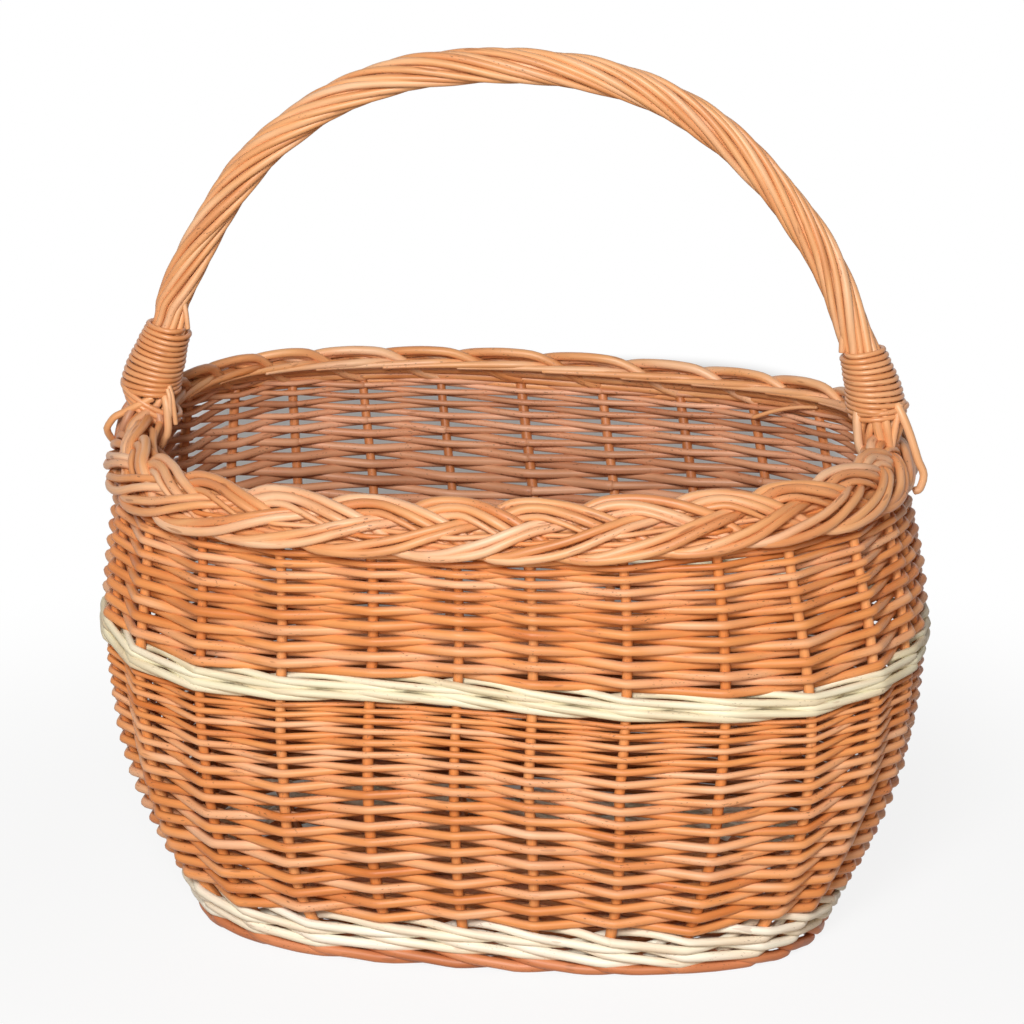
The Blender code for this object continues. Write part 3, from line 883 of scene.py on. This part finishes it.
def on_border(line):
    """World points for places along the rim, across the border and in its layers."""
    share = stake_share(line[:, 0], RIM_HEIGHT)
    column = (share % 1.0) * ROUND_POINTS
    low = np.floor(column).astype(int) % ROUND_POINTS
    part = (column - np.floor(column))[:, None]
    flat = border_middle[low] * (1 - part) + border_middle[low + 1] * part
    along = unit(border_middle[(low + 2) % ROUND_POINTS] - border_middle[low - 1])
    outward, up = columns(along[:, 1], -along[:, 0], 0.0), np.array(UP)
    across = outward * math.cos(BORDER_TILT) - up * math.sin(BORDER_TILT)
    facing = outward * math.sin(BORDER_TILT) + up * math.cos(BORDER_TILT)
    layer = BORDER_LAYER * line[:, 2] + BORDER_BOW * (0.5 - line[:, 1] ** 2)
    middle = columns(flat[:, 0], flat[:, 1], BORDER_HEIGHT)
    points = middle + across * (BORDER_HALF * line[:, 1])[:, None] + facing * layer[:, None]
    return settle(points, share), facing


print("border outline:", border_middle.shape)

# %% [markdown]
# Each stake gives two strokes to the plait, which are the same all round but for a little chance.
# A row of numbers says how far along the rim a stroke is, in stakes, how far across the border,
# from -1 at its inner edge to 1 at its outer one, and in which layer. Four hidden rods run round
# below the plait and close it to the light.

# %% Border
BORDER_RADIUS = 0.0023
SWAY = 0.03
HIDDEN_RODS = ((-0.55, -1.5), (-0.12, -1.9), (0.32, -1.9), (0.72, -1.6))
HIDDEN_RADIUS = 0.0024
UPPER_STROKE = (
    (-1.00, 0.40, -1.9), (-0.82, 0.05, -2.2), (-0.62, -0.48, -1.7), (-0.45, -0.80, -0.5),
    (-0.27, -1.02, 0.5), (0.0, -1.07, 0.9), (0.32, -0.91, 1.0), (0.62, -0.55, 1.0), (0.86, -0.24, 0.3),
    (1.08, 0.12, -0.9), (1.28, 0.60, -1.0), (1.45, 0.98, -0.6), (1.68, 1.15, 0.2), (2.0, 1.16, 0.7),
    (2.4, 0.96, 1.0), (2.8, 0.48, 1.1), (3.07, 0.14, 0.8), (3.32, -0.18, -0.5), (3.6, -0.58, -1.3),
    (3.9, -0.92, -1.8), (4.3, -0.95, -2.2), (4.9, -0.92, -2.6), (5.7, -0.88, -3.1))
LOWER_STROKE = (
    (-1.00, 0.44, -1.9), (-0.84, 0.12, -2.3), (-0.63, -0.30, -1.7), (-0.45, -0.52, -0.6),
    (-0.29, -0.62, 0.2), (-0.12, -0.76, 0.8), (0.13, -0.74, 1.0), (0.40, -0.45, 1.0), (0.60, -0.18, 0.7),
    (0.78, 0.04, -0.3), (1.0, 0.36, -1.0), (1.25, 0.78, -1.0), (1.50, 1.00, -0.4), (1.75, 1.02, 0.4),
    (2.0, 0.88, 0.9), (2.4, 0.57, 1.1), (2.8, 0.12, 1.0), (3.12, -0.28, -0.2), (3.4, -0.42, -1.0),
    (3.72, -0.44, -0.9), (3.92, -0.46, 0.2), (4.1, -0.42, 0.9), (4.35, -0.12, 0.9), (4.55, 0.14, 0.1),
    (4.8, 0.45, -1.0), (5.0, 0.62, -1.3))


def border_rods():
    """The hidden rods, and two strokes of the plait for each stake."""
    rods = []
    around = np.linspace(0.0, STAKES, 24 * STAKES + 1)
    for across, layer in HIDDEN_RODS:
        points, facing = on_border(columns(around, across + 0.05 * np.sin(around * 1.3), layer))
        rods.append(Rod(points, HIDDEN_RADIUS, facing, (0.15, 0.3, 0.2)))
    for number in range(STAKES):
        for stroke in (UPPER_STROKE, LOWER_STROKE):
            knots = np.array(stroke)
            knots[:, 1] += np.interp(knots[:, 0], [-1, 1, 2, 4, 6], rng.normal(0.0, SWAY, 5))
            knots[:, 0] += number + rng.normal(0.0, SWAY)
            points, facing = on_border(smooth_line(knots, 84))
            taper = np.interp(np.linspace(0.0, 1.0, len(points)), (0.0, 0.80, 1.0), (1.06, 0.88, 0.34))
            thick = BORDER_RADIUS * taper * unlike(0.035)
            rods.append(Rod(points, thick, facing))
    return rods


make("border_plait", border_rods(), border_finish, "border_willow",
     "border_outer_rods", "border_inner_rods", "border_crown_back", "border_crown_front")

# %% [markdown]
# ## The hoop handle
# A thick bow is hidden inside a skin of thinner rods, which are wound round it side by side,
# with one slow turn in about sixteen centimetres. A frame that runs along the bow, with one
# direction out of the hoop and one to the side, turns a winding angle into a place.

# %% Bow
HANDLE_SPAN = 0.2148
HANDLE_TOP = 0.4266
HANDLE_POWER = 2.42
HANDLE_SHIFT = 0.0010
BOW_SWAY = 0.0008
LEG_TOP = 0.345


def below(height, top, length):
    """0 above a height, 1 from a length further down, and a smooth rise in between."""
    return soft_step((top - height) / length)


def foot_lean(x, z):
    """How far each leg is pulled in towards its foot, and the left one's outward bulge above."""
    left = 0.0012 * below(z, LEG_TOP, 0.040) + 0.0034 * below(z, 0.306, 0.015)
    left += 0.18 * np.clip(0.265 - z, 0.0, None)
    left -= 0.0022 * bell(z, 0.385, 0.030)
    right = 0.0028 * below(z, LEG_TOP, 0.045) + 3.2 * np.clip(0.290 - z, 0.0, None) ** 2
    return np.where(x < 0.0, left, -right)


def handle_bow(count=1200, foot=0.228):
    """Points evenly spaced along the bow, from its left foot over the top to its right foot."""
    foot_angle = math.asin((foot / HANDLE_TOP) ** (HANDLE_POWER / 2))
    angle = np.linspace(math.pi - foot_angle, foot_angle, 4 * count)
    x = HANDLE_SPAN * np.sign(np.cos(angle)) * np.abs(np.cos(angle)) ** (2 / HANDLE_POWER)
    z = HANDLE_TOP * np.sin(angle) ** (2 / HANDLE_POWER)
    x += foot_lean(x, z)
    way = np.concatenate([[0.0], np.cumsum(np.hypot(np.diff(x), np.diff(z)))])
    even = np.linspace(0.0, way[-1], count)
    x, z = np.interp(even, way, x) - HANDLE_SHIFT, np.interp(even, way, z)
    return columns(x, BOW_SWAY * np.sin(even * 17.0), z), even


bow, bow_way = handle_bow()
bow_numbers = np.arange(len(bow))
later, earlier = (bow[np.clip(bow_numbers + more, 0, len(bow) - 1)] for more in (16, -16))
bow_side = np.array([0.0, -1.0, 0.0])
bow_out = unit(np.cross(bow_side, unit(later - earlier)))
print("length of the bow:", round(float(bow_way[-1]), 3))

# %% [markdown]
# The skin rods wander a little from their even places, as wood does, and some have their thick
# end on the left and some on the right. Within the whipping they spread, and further down, in
# the border, they close up again.

# %% Handle
CORE_RADIUS = 0.0052
TWIST_PITCH = 0.165
SKIN_RODS = 11
SKIN_RADIUS = 0.00188
SKIN_LIE = 0.00665


def flare(height):
    """How far the skin rods spread within the whipping, before they close up in the border."""
    return 0.0042 * below(height, 0.300, 0.042) - 0.0040 * below(height, 0.258, 0.014)


def round_bow(way, angle, reach):
    """Points round the bow at ways along it, winding angles and distances from its middle."""
    middle, out = (columns(*[np.interp(way, bow_way, part) for part in line.T]) for line in (bow, bow_out))
    offset = unit(out) * np.cos(angle)[:, None] + bow_side * np.sin(angle)[:, None]
    return middle + offset * np.asarray(reach)[:, None], offset


def chance_wave(way, lowest, highest):
    """A wave along the bow, as short as chance makes it and with any start."""
    return np.sin(way * rng.uniform(lowest, highest) + rng.uniform(0, 6))


def handle_rods():
    """The core of the handle and the rods that are wound round it."""
    rods = []
    way = np.linspace(0.0, bow_way[-1], 260)
    height = np.interp(way, bow_way, bow[:, 2])
    points, facing = round_bow(way, np.zeros_like(way), np.zeros_like(way))
    rods.append(Rod(points, CORE_RADIUS + flare(height) * 0.8, bow_side))
    for number in range(SKIN_RODS):
        swing = rng.normal(0.0, 0.05) + 0.10 * chance_wave(way, 14, 30)
        angle = 2 * np.pi * (way / TWIST_PITCH + number / SKIN_RODS) + swing
        lie = SKIN_LIE + flare(height) + 0.00042 * chance_wave(way, 25, 50)
        points, facing = round_bow(way, angle, lie)
        taper = np.linspace(1.08, 0.95, len(way))[::rng.choice([-1, 1])]
        rods.append(Rod(points, SKIN_RADIUS * taper * unlike(0.05), facing))
    return rods


make("handle_rods", handle_rods(), handle_finish, "handle_willow",
     "handle_core", *numbered("handle_rod", 8), sides=12)

# %% [markdown]
# ## Whippings
# A thin rod is wound tightly round each foot of the handle and tucked in. It lies on the
# bundle's corners, so its turns are a little square. The table says for each leg which way the
# bow climbs, where the corners lie in degrees, how much the turns slant, and the rod's tone.

# %% Whippings
WHIPPING_PITCH, WHIPPING_RADIUS = 0.00276, 0.00132
SQUARENESS = 2.7
TUCK = 0.0030
SIDES = {"left": (1.0, 78.0, -0.04, 0.55), "right": (-1.0, 62.0, 0.17, 0.78)}


def way_at(height, side):
    """The way along the bow where one leg passes a height."""
    half = len(bow) // 2
    if side == "right":
        return float(np.interp(-height, -bow[half:, 2], bow_way[half:]))
    return float(np.interp(height, bow[:half, 2], bow_way[:half]))


def whipping_rod(bottom, turns, side):
    """A rod that is wound up one leg, with both its ends tucked in."""
    onward, corner, slant, tone = SIDES[side]
    turn = np.linspace(0.0, turns, int(turns * 40))
    way = way_at(bottom, side) + onward * WHIPPING_PITCH * turn
    angle = 2 * np.pi * turn
    height = np.interp(way, bow_way, bow[:, 2])
    corner = angle - math.radians(corner)
    square = np.abs(np.cos(corner)) ** SQUARENESS + np.abs(np.sin(corner)) ** SQUARENESS
    square = 0.97 + 0.55 * (square ** (-1 / SQUARENESS) - 1.0)
    wobble = 0.00012 * np.sin(turn * 5.1) + 0.0001 * np.sin(turn * 11.7)
    reach = (SKIN_LIE + SKIN_RADIUS + flare(height)) * square + WHIPPING_RADIUS + wobble
    tuck = soft_step(turn / 0.25) * soft_step((turns - turn) / 0.25)
    way = way + slant * reach * np.cos(angle)
    points, facing = round_bow(way, angle, reach - (1.0 - tuck) * TUCK)
    return Rod(points, WHIPPING_RADIUS * (1.0 + 0.05 * np.sin(turn * 2.3)), facing, (tone, 0.5, 0.3))


def slanted_turns(middle, turns, radius, slant):
    """The last loose turns, which drop towards the inside of the basket."""
    angle = np.linspace(0.0, 2 * np.pi * turns, int(40 * turns))
    turn = angle / (2 * np.pi)
    reach = 0.0142 - 0.0010 * turn
    fall = slant * np.cos(angle) - 0.0029 * turn
    spot = columns(-reach * np.cos(angle), -0.0136 * np.sin(angle), fall)
    return Rod(np.array(middle) + spot, radius, unit(spot), (0.55, 0.5, 0.3))


left_turns = [whipping_rod(0.2600, 12.5, "left"),
              slanted_turns((-0.1798, 0.0, 0.2562), turns=2.4, radius=0.00140, slant=0.0074)]
right_turns = [whipping_rod(0.2655, 10.5, "right"),
               slanted_turns((0.1785, 0.0, 0.2660), turns=1.6, radius=0.00135, slant=-0.0020)]
make("left_whipping_rod", left_turns, whipping_finish, "whipping_willow", "left_whipping")
make("right_whipping_rod", right_turns, whipping_finish, "whipping_willow", "right_whipping")

# %% [markdown]
# ## Loose ends at the feet
# Where the handle meets the border, its last rods don't lie flat. One goes over the outside of
# the plait, one curls under, and a few were cut short. Two thin twigs lie inside the rim at the
# back. They are all placed one by one, each with the places it bends through, its radius, and
# its tone with its share of scars and bark.

# %% Feet
def foot_rod(knots, radius, cast, count=28):
    """A single bent rod through a few places."""
    points = smooth_line(knots, count)
    return Rod(points, radius * np.linspace(1.04, 0.94, count), (0.0, -1.0, 0.0), cast)


PALE, WARM, DARK = (1.0, 0.1, 0.1), (0.45, 0.3, 0.2), (0.30, 0.7, 0.4)
brown_ends = [
    foot_rod([(-0.1870, -0.0120, 0.2534), (-0.1891, -0.0150, 0.2487), (-0.1918, -0.0155, 0.2415),
              (-0.1936, -0.0150, 0.2332), (-0.1933, -0.0130, 0.2240)], 0.0021, DARK),
    foot_rod([(-0.1844, -0.0145, 0.2461), (-0.1815, -0.0165, 0.2422), (-0.1776, -0.0165, 0.2377),
              (-0.1737, -0.0150, 0.2323), (-0.1698, -0.0120, 0.2270)], 0.0021, DARK),
    foot_rod([(-0.1760, -0.0100, 0.2530), (-0.1731, -0.0130, 0.2458), (-0.1742, -0.0135, 0.2406),
              (-0.1784, -0.0110, 0.2340)], 0.0020, (0.5, 0.7, 0.4)),
    foot_rod([(-0.1850, 0.0050, 0.2600), (-0.1905, 0.0020, 0.2530), (-0.1945, -0.0020, 0.2450),
              (-0.1960, -0.0060, 0.2350), (-0.1950, -0.0090, 0.2260)], 0.0022, (0.1, 0.7, 0.4)),
]
warm_ends = [
    foot_rod([(-0.1769, -0.0120, 0.2587), (-0.1830, -0.0130, 0.2554), (-0.1912, -0.0130, 0.2510),
              (-0.1979, -0.0125, 0.2461), (-0.2005, -0.0105, 0.2409), (-0.1997, -0.0060, 0.2358),
              (-0.1960, 0.0010, 0.2310)], 0.0019, WARM),
    foot_rod([(-0.1710, -0.0105, 0.2590), (-0.1695, -0.0125, 0.2535), (-0.1690, -0.0130, 0.2455),
              (-0.1715, -0.0125, 0.2375), (-0.1775, -0.0080, 0.2310)], 0.0020, WARM),
    foot_rod([(-0.1690, -0.0090, 0.2640), (-0.1668, -0.0110, 0.2570),
              (-0.1656, -0.0110, 0.2455)], 0.0013, WARM),
    foot_rod([(-0.1694, -0.0110, 0.2630), (-0.1680, -0.0125, 0.2569),
              (-0.1680, -0.0125, 0.2500)], 0.0012, WARM),
    foot_rod([(-0.1618, -0.0035, 0.3050), (-0.1607, -0.0040, 0.2990),
              (-0.1600, -0.0045, 0.2925)], 0.0013, WARM),
    foot_rod([(0.1880, -0.0085, 0.2690), (0.1912, -0.0105, 0.2635), (0.1940, -0.0110, 0.2571),
              (0.1990, -0.0110, 0.2424), (0.2018, -0.0100, 0.2335), (0.2008, -0.0100, 0.2296),
              (0.1974, -0.0100, 0.2266)], 0.0021, PALE),
    foot_rod([(0.1691, -0.0085, 0.2680), (0.1692, -0.0105, 0.2600), (0.1698, -0.0105, 0.2526),
              (0.1722, -0.0090, 0.2430)], 0.0022, PALE),
    foot_rod([(0.1769, -0.0110, 0.2690), (0.1795, -0.0125, 0.2571),
              (0.1825, -0.0115, 0.2470)], 0.0024, (0.3, 0.3, 0.2)),
    foot_rod([(0.1812, -0.0105, 0.2690), (0.1838, -0.0120, 0.2571), (0.1854, -0.0110, 0.2470)], 0.0022, WARM),
    foot_rod([(0.1894, -0.0085, 0.2690), (0.1874, -0.0105, 0.2569), (0.1860, -0.0100, 0.2470)], 0.0018, PALE),
    foot_rod([(0.1620, -0.0040, 0.3030), (0.1608, -0.0045, 0.2985), (0.1606, -0.0045, 0.2930)], 0.0016, PALE),
    foot_rod([(0.1080, 0.1100, 0.2270), (0.1195, 0.1075, 0.2317), (0.1296, 0.1040, 0.2347),
              (0.1413, 0.0990, 0.2368)], 0.0011, (0.6, 0.7, 0.4)),
    foot_rod([(0.1050, 0.1185, 0.2400), (0.1188, 0.1135, 0.2375),
              (0.1320, 0.1080, 0.2345)], 0.0009, (0.3, 0.7, 0.4)),
]
make("handle_loose_ends", warm_ends, handle_finish, "handle_willow")
make("brown_rod_ends", brown_ends, loose_finish, "border_willow")

# %% [markdown]
# ## The base
# The base is woven first: three long sticks run through slits in five short ones, and thin rods
# are woven round them in ovals until the base is wide enough to take the stakes.

# %% Base
BASE_HEIGHT = 0.0054
BASE_HALF = (0.146, 0.078)
SHORT_STICKS = (-0.092, -0.046, 0.0, 0.046, 0.092)
LONG_STICKS = (-0.0072, 0.0, 0.0072)
RINGS = 16
FIRST_RING, RING_GROWTH = (0.0990, 0.0145, 2.3), (0.0415, 0.0650, 0.9)
ring_shares = np.linspace(0.0, 1.0, 360, endpoint=False)


def fan(x):
    """How many times further apart the long sticks lie towards their ends."""
    return 1.0 + 4.2 * ramp(np.abs(x), 0.098, 0.042)


def base_sticks():
    """The short sticks, and the long ones, which fan out at their ends."""
    rods = []
    for x in SHORT_STICKS:
        reach = BASE_HALF[1] * (1.0 - (abs(x) / BASE_HALF[0]) ** FOOT[2]) ** (1 / FOOT[2])
        y = np.linspace(-reach, reach, 24)
        rods.append(Rod(columns(x + FOOT_SHIFT, y, BASE_HEIGHT), 0.0030, UP))
    for y in LONG_STICKS:
        x = np.linspace(-0.139, 0.139, 60)
        rods.append(Rod(columns(x + FOOT_SHIFT, y * fan(x), BASE_HEIGHT), 0.0029, UP))
    return rods


def crossings(outline):
    """Shares of the way round at which an oval crosses the sticks."""
    gaps = [(1, outline[:, 0] - x) for x in SHORT_STICKS]
    gaps += [(0, outline[:, 1] - y * fan(outline[:, 0])) for y in LONG_STICKS]
    found = []
    for axis, gap in gaps:
        for sign in (-1, 1):
            side = np.where(np.sign(outline[:, axis]) == sign)[0]
            found.append(ring_shares[side[np.argmin(np.abs(gap[side]))]])
    return np.sort(found)


def base_ring(number):
    """One oval of weaving that passes over and under the base's sticks in turn."""
    part = number / (RINGS - 1)
    size = [first + growth * part for first, growth in zip(FIRST_RING, RING_GROWTH)]
    outline = even_outline(*size, count=len(ring_shares))[:-1]
    sticks = crossings(outline)
    knots = np.concatenate([sticks[-1:] - 1.0, sticks, sticks[:1] + 1.0])
    step = np.interp(ring_shares, knots, np.arange(len(knots)) + number)
    thick = 0.0020 - 0.0006 * (np.abs(outline[:, 0]) / size[0]) ** 2
    height = BASE_HEIGHT + np.cos(np.pi * step) * (0.0026 + thick * 0.3)
    points = columns(outline[:, 0] + FOOT_SHIFT, outline[:, 1], height)
    points = np.concatenate([points, points[:3]])
    return Rod(points, np.concatenate([thick, thick[:3]]), UP)


sticks = base_sticks()
rings = [base_ring(number) for number in range(RINGS)]
make("base_sticks", sticks, foot_finish, "foot_willow",
     *numbered("base_long_stick", 3), *numbered("base_short_stick", 5))
make("base_weave_rods", rings, siding_finish, "siding_willow", "base_weave", sides=8)

# %% [markdown]
# ## The floor
# The basket stands on a plain white floor, which glows a little more further out, so that it
# has no edge. Under and behind the basket lies a patch that glows much less. The basket hides
# it from the main camera, and the holes in the back wall show it as grey, as in a real room.
# The patch is laid out in places ahead of and beside the point below the camera.

# %% Floor
WHITE = (1.0, 1.0, 1.0)
TURN = math.radians(8.5)
BELOW_CAMERA = (0.311, -2.08, 0.0)
PATCH_WIDTH, PATCH_MIDDLE, PATCH_SHORTNESS = 0.088, 2.62, 1.72
PATCH_GLOW, NEAR_GLOW, FAR_GLOW = 0.08, 0.79, 0.13
floor_mesh = bpy.data.meshes.new("floor")
floor_mesh.from_pydata([(-6, -6, 0), (6, -6, 0), (6, 6, 0), (-6, 6, 0)], [], [(0, 1, 2, 3)])
floor = bpy.data.objects.new("floor", floor_mesh)
bpy.context.scene.collection.objects.link(floor)
floor_finish = Finish("floor_white")
floor_finish.shader.inputs["Roughness"].default_value = 0.9
floor_finish.shader.inputs["Specular IOR Level"].default_value = 0.1


def seen_directly(wiring):
    """1 for what the camera sees, by itself or in a reflection, and 0 for light on its way."""
    rays = [wiring.node("ShaderNodeLightPath", output=number) for number in (0, 3, 6)]
    return rays[0].math("MAXIMUM", rays[1].math("MAXIMUM", rays[2]))


seen = seen_directly(floor_finish)
floor_color = floor_finish.mix((0.45, 0.36, 0.27), (0.84, 0.87, 0.90), seen)
floor_finish.feed(floor_finish.shader.inputs["Base Color"], floor_color)
ground = floor_finish.node("ShaderNodeNewGeometry")
turned = {"Vector": ground, "Location": BELOW_CAMERA, "Rotation": (0.0, 0.0, TURN)}
wedge = floor_finish.node("ShaderNodeMapping", {"vector_type": "TEXTURE"}, turned)
beside, ahead = (floor_finish.part(wedge, number) for number in (0, 1))
across = beside.math("DIVIDE", ahead * PATCH_WIDTH)
along = (ahead - PATCH_MIDDLE) * PATCH_SHORTNESS
away = (across.math("POWER", 4.0) + along.math("POWER", 4.0)).above(0.55, 1.0)
far = floor_finish.node("ShaderNodeVectorMath", {"operation": "LENGTH"}, {0: ground}, 1).above(0.25, 0.60)
bright = (PATCH_GLOW + away * NEAR_GLOW + away * far * FAR_GLOW) * seen
glow = floor_finish.node("ShaderNodeEmission", {}, {"Color": (*WHITE, 1.0)})
both = floor_finish.node("ShaderNodeMixShader", {}, {0: bright, 2: glow})
floor_finish.tree.links.new(floor_finish.shader.outputs[0], both.socket.node.inputs[1])
floor_finish.feed(floor_finish.tree.nodes["Material Output"].inputs["Surface"], both)
floor_mesh.materials.append(floor_finish.material)
print("floor laid")

# %% [markdown]
# ## Light
# A strong soft lamp stands above and behind the camera, a weak warm one lower down. The sky
# looks white to the camera, and gives only a little warm light, which fills the shadows.

# %% Light
SKY_LIGHT = 0.10
scene = bpy.context.scene
scene.view_settings.view_transform = "Standard"
world = bpy.data.worlds.new("studio")
scene.world = world
world.use_nodes = True
sky = Wiring(world.node_tree)
background = world.node_tree.nodes["Background"]
sky_seen = seen_directly(sky)
sky.feed(background.inputs["Color"], sky.mix((1.0, 0.72, 0.48), WHITE, sky_seen))
sky.feed(background.inputs["Strength"], SKY_LIGHT + (1.0 - SKY_LIGHT) * sky_seen)


def aim_at(thing, target):
    """Turn a lamp or camera so that it looks at a point."""
    back = unit(np.array(thing.location) - np.array(target))
    right = unit(np.cross(UP, back))
    turn = columns(right, np.cross(back, right), back)
    thing.rotation_euler = Matrix(turn.tolist()).to_euler()


def soft_lamp(name, place_at, aim, power, color, side=0.7):
    """A large soft lamp that faces a point."""
    lamp_data = bpy.data.lights.new(name, "AREA")
    lamp_data.shape = "RECTANGLE"
    lamp_data.size, lamp_data.size_y = side, side
    lamp_data.energy = power
    lamp_data.color = color
    lamp = bpy.data.objects.new(name, lamp_data)
    scene.collection.objects.link(lamp)
    lamp.location = place_at
    aim_at(lamp, aim)


soft_lamp("key", (0.0, -2.45, 1.55), aim=(0.0, 0.0, 0.18), power=72.0, color=(1.0, 0.985, 0.96))
soft_lamp("fill", (0.35, -2.6, 0.7), aim=(0.0, 0.0, 0.10), power=11.0, color=(1.0, 0.93, 0.86))
print("lamps:", len(bpy.data.lights))

# %% [markdown]
# ## Camera
# The camera looks down at the basket by 17 degrees and stands 8.5 degrees to the right of square
# on. It stands over two metres away and has a long lens, which keeps the hoop round.

# %% Camera
TILT, DISTANCE = math.radians(17.0), 2.2
SENSOR = 36.0
PICTURE_WIDTH, FOCAL_LENGTH = 1024.0, 4466.0
CAMERA_PIVOT, AIM = (0.0, 0.0, 0.19), (0.0, 0.0, 0.2044)
camera_data = bpy.data.cameras.new("camera")
camera_data.sensor_width = SENSOR
camera_data.lens = FOCAL_LENGTH / PICTURE_WIDTH * SENSOR
camera = bpy.data.objects.new("camera", camera_data)
scene.collection.objects.link(camera)
level = math.cos(TILT)
towards_camera = np.array([math.sin(TURN) * level, -math.cos(TURN) * level, math.sin(TILT)])
camera.location = np.array(CAMERA_PIVOT) + towards_camera * DISTANCE
aim_at(camera, AIM)
scene.camera = camera
print("lens in mm:", round(camera_data.lens, 1))
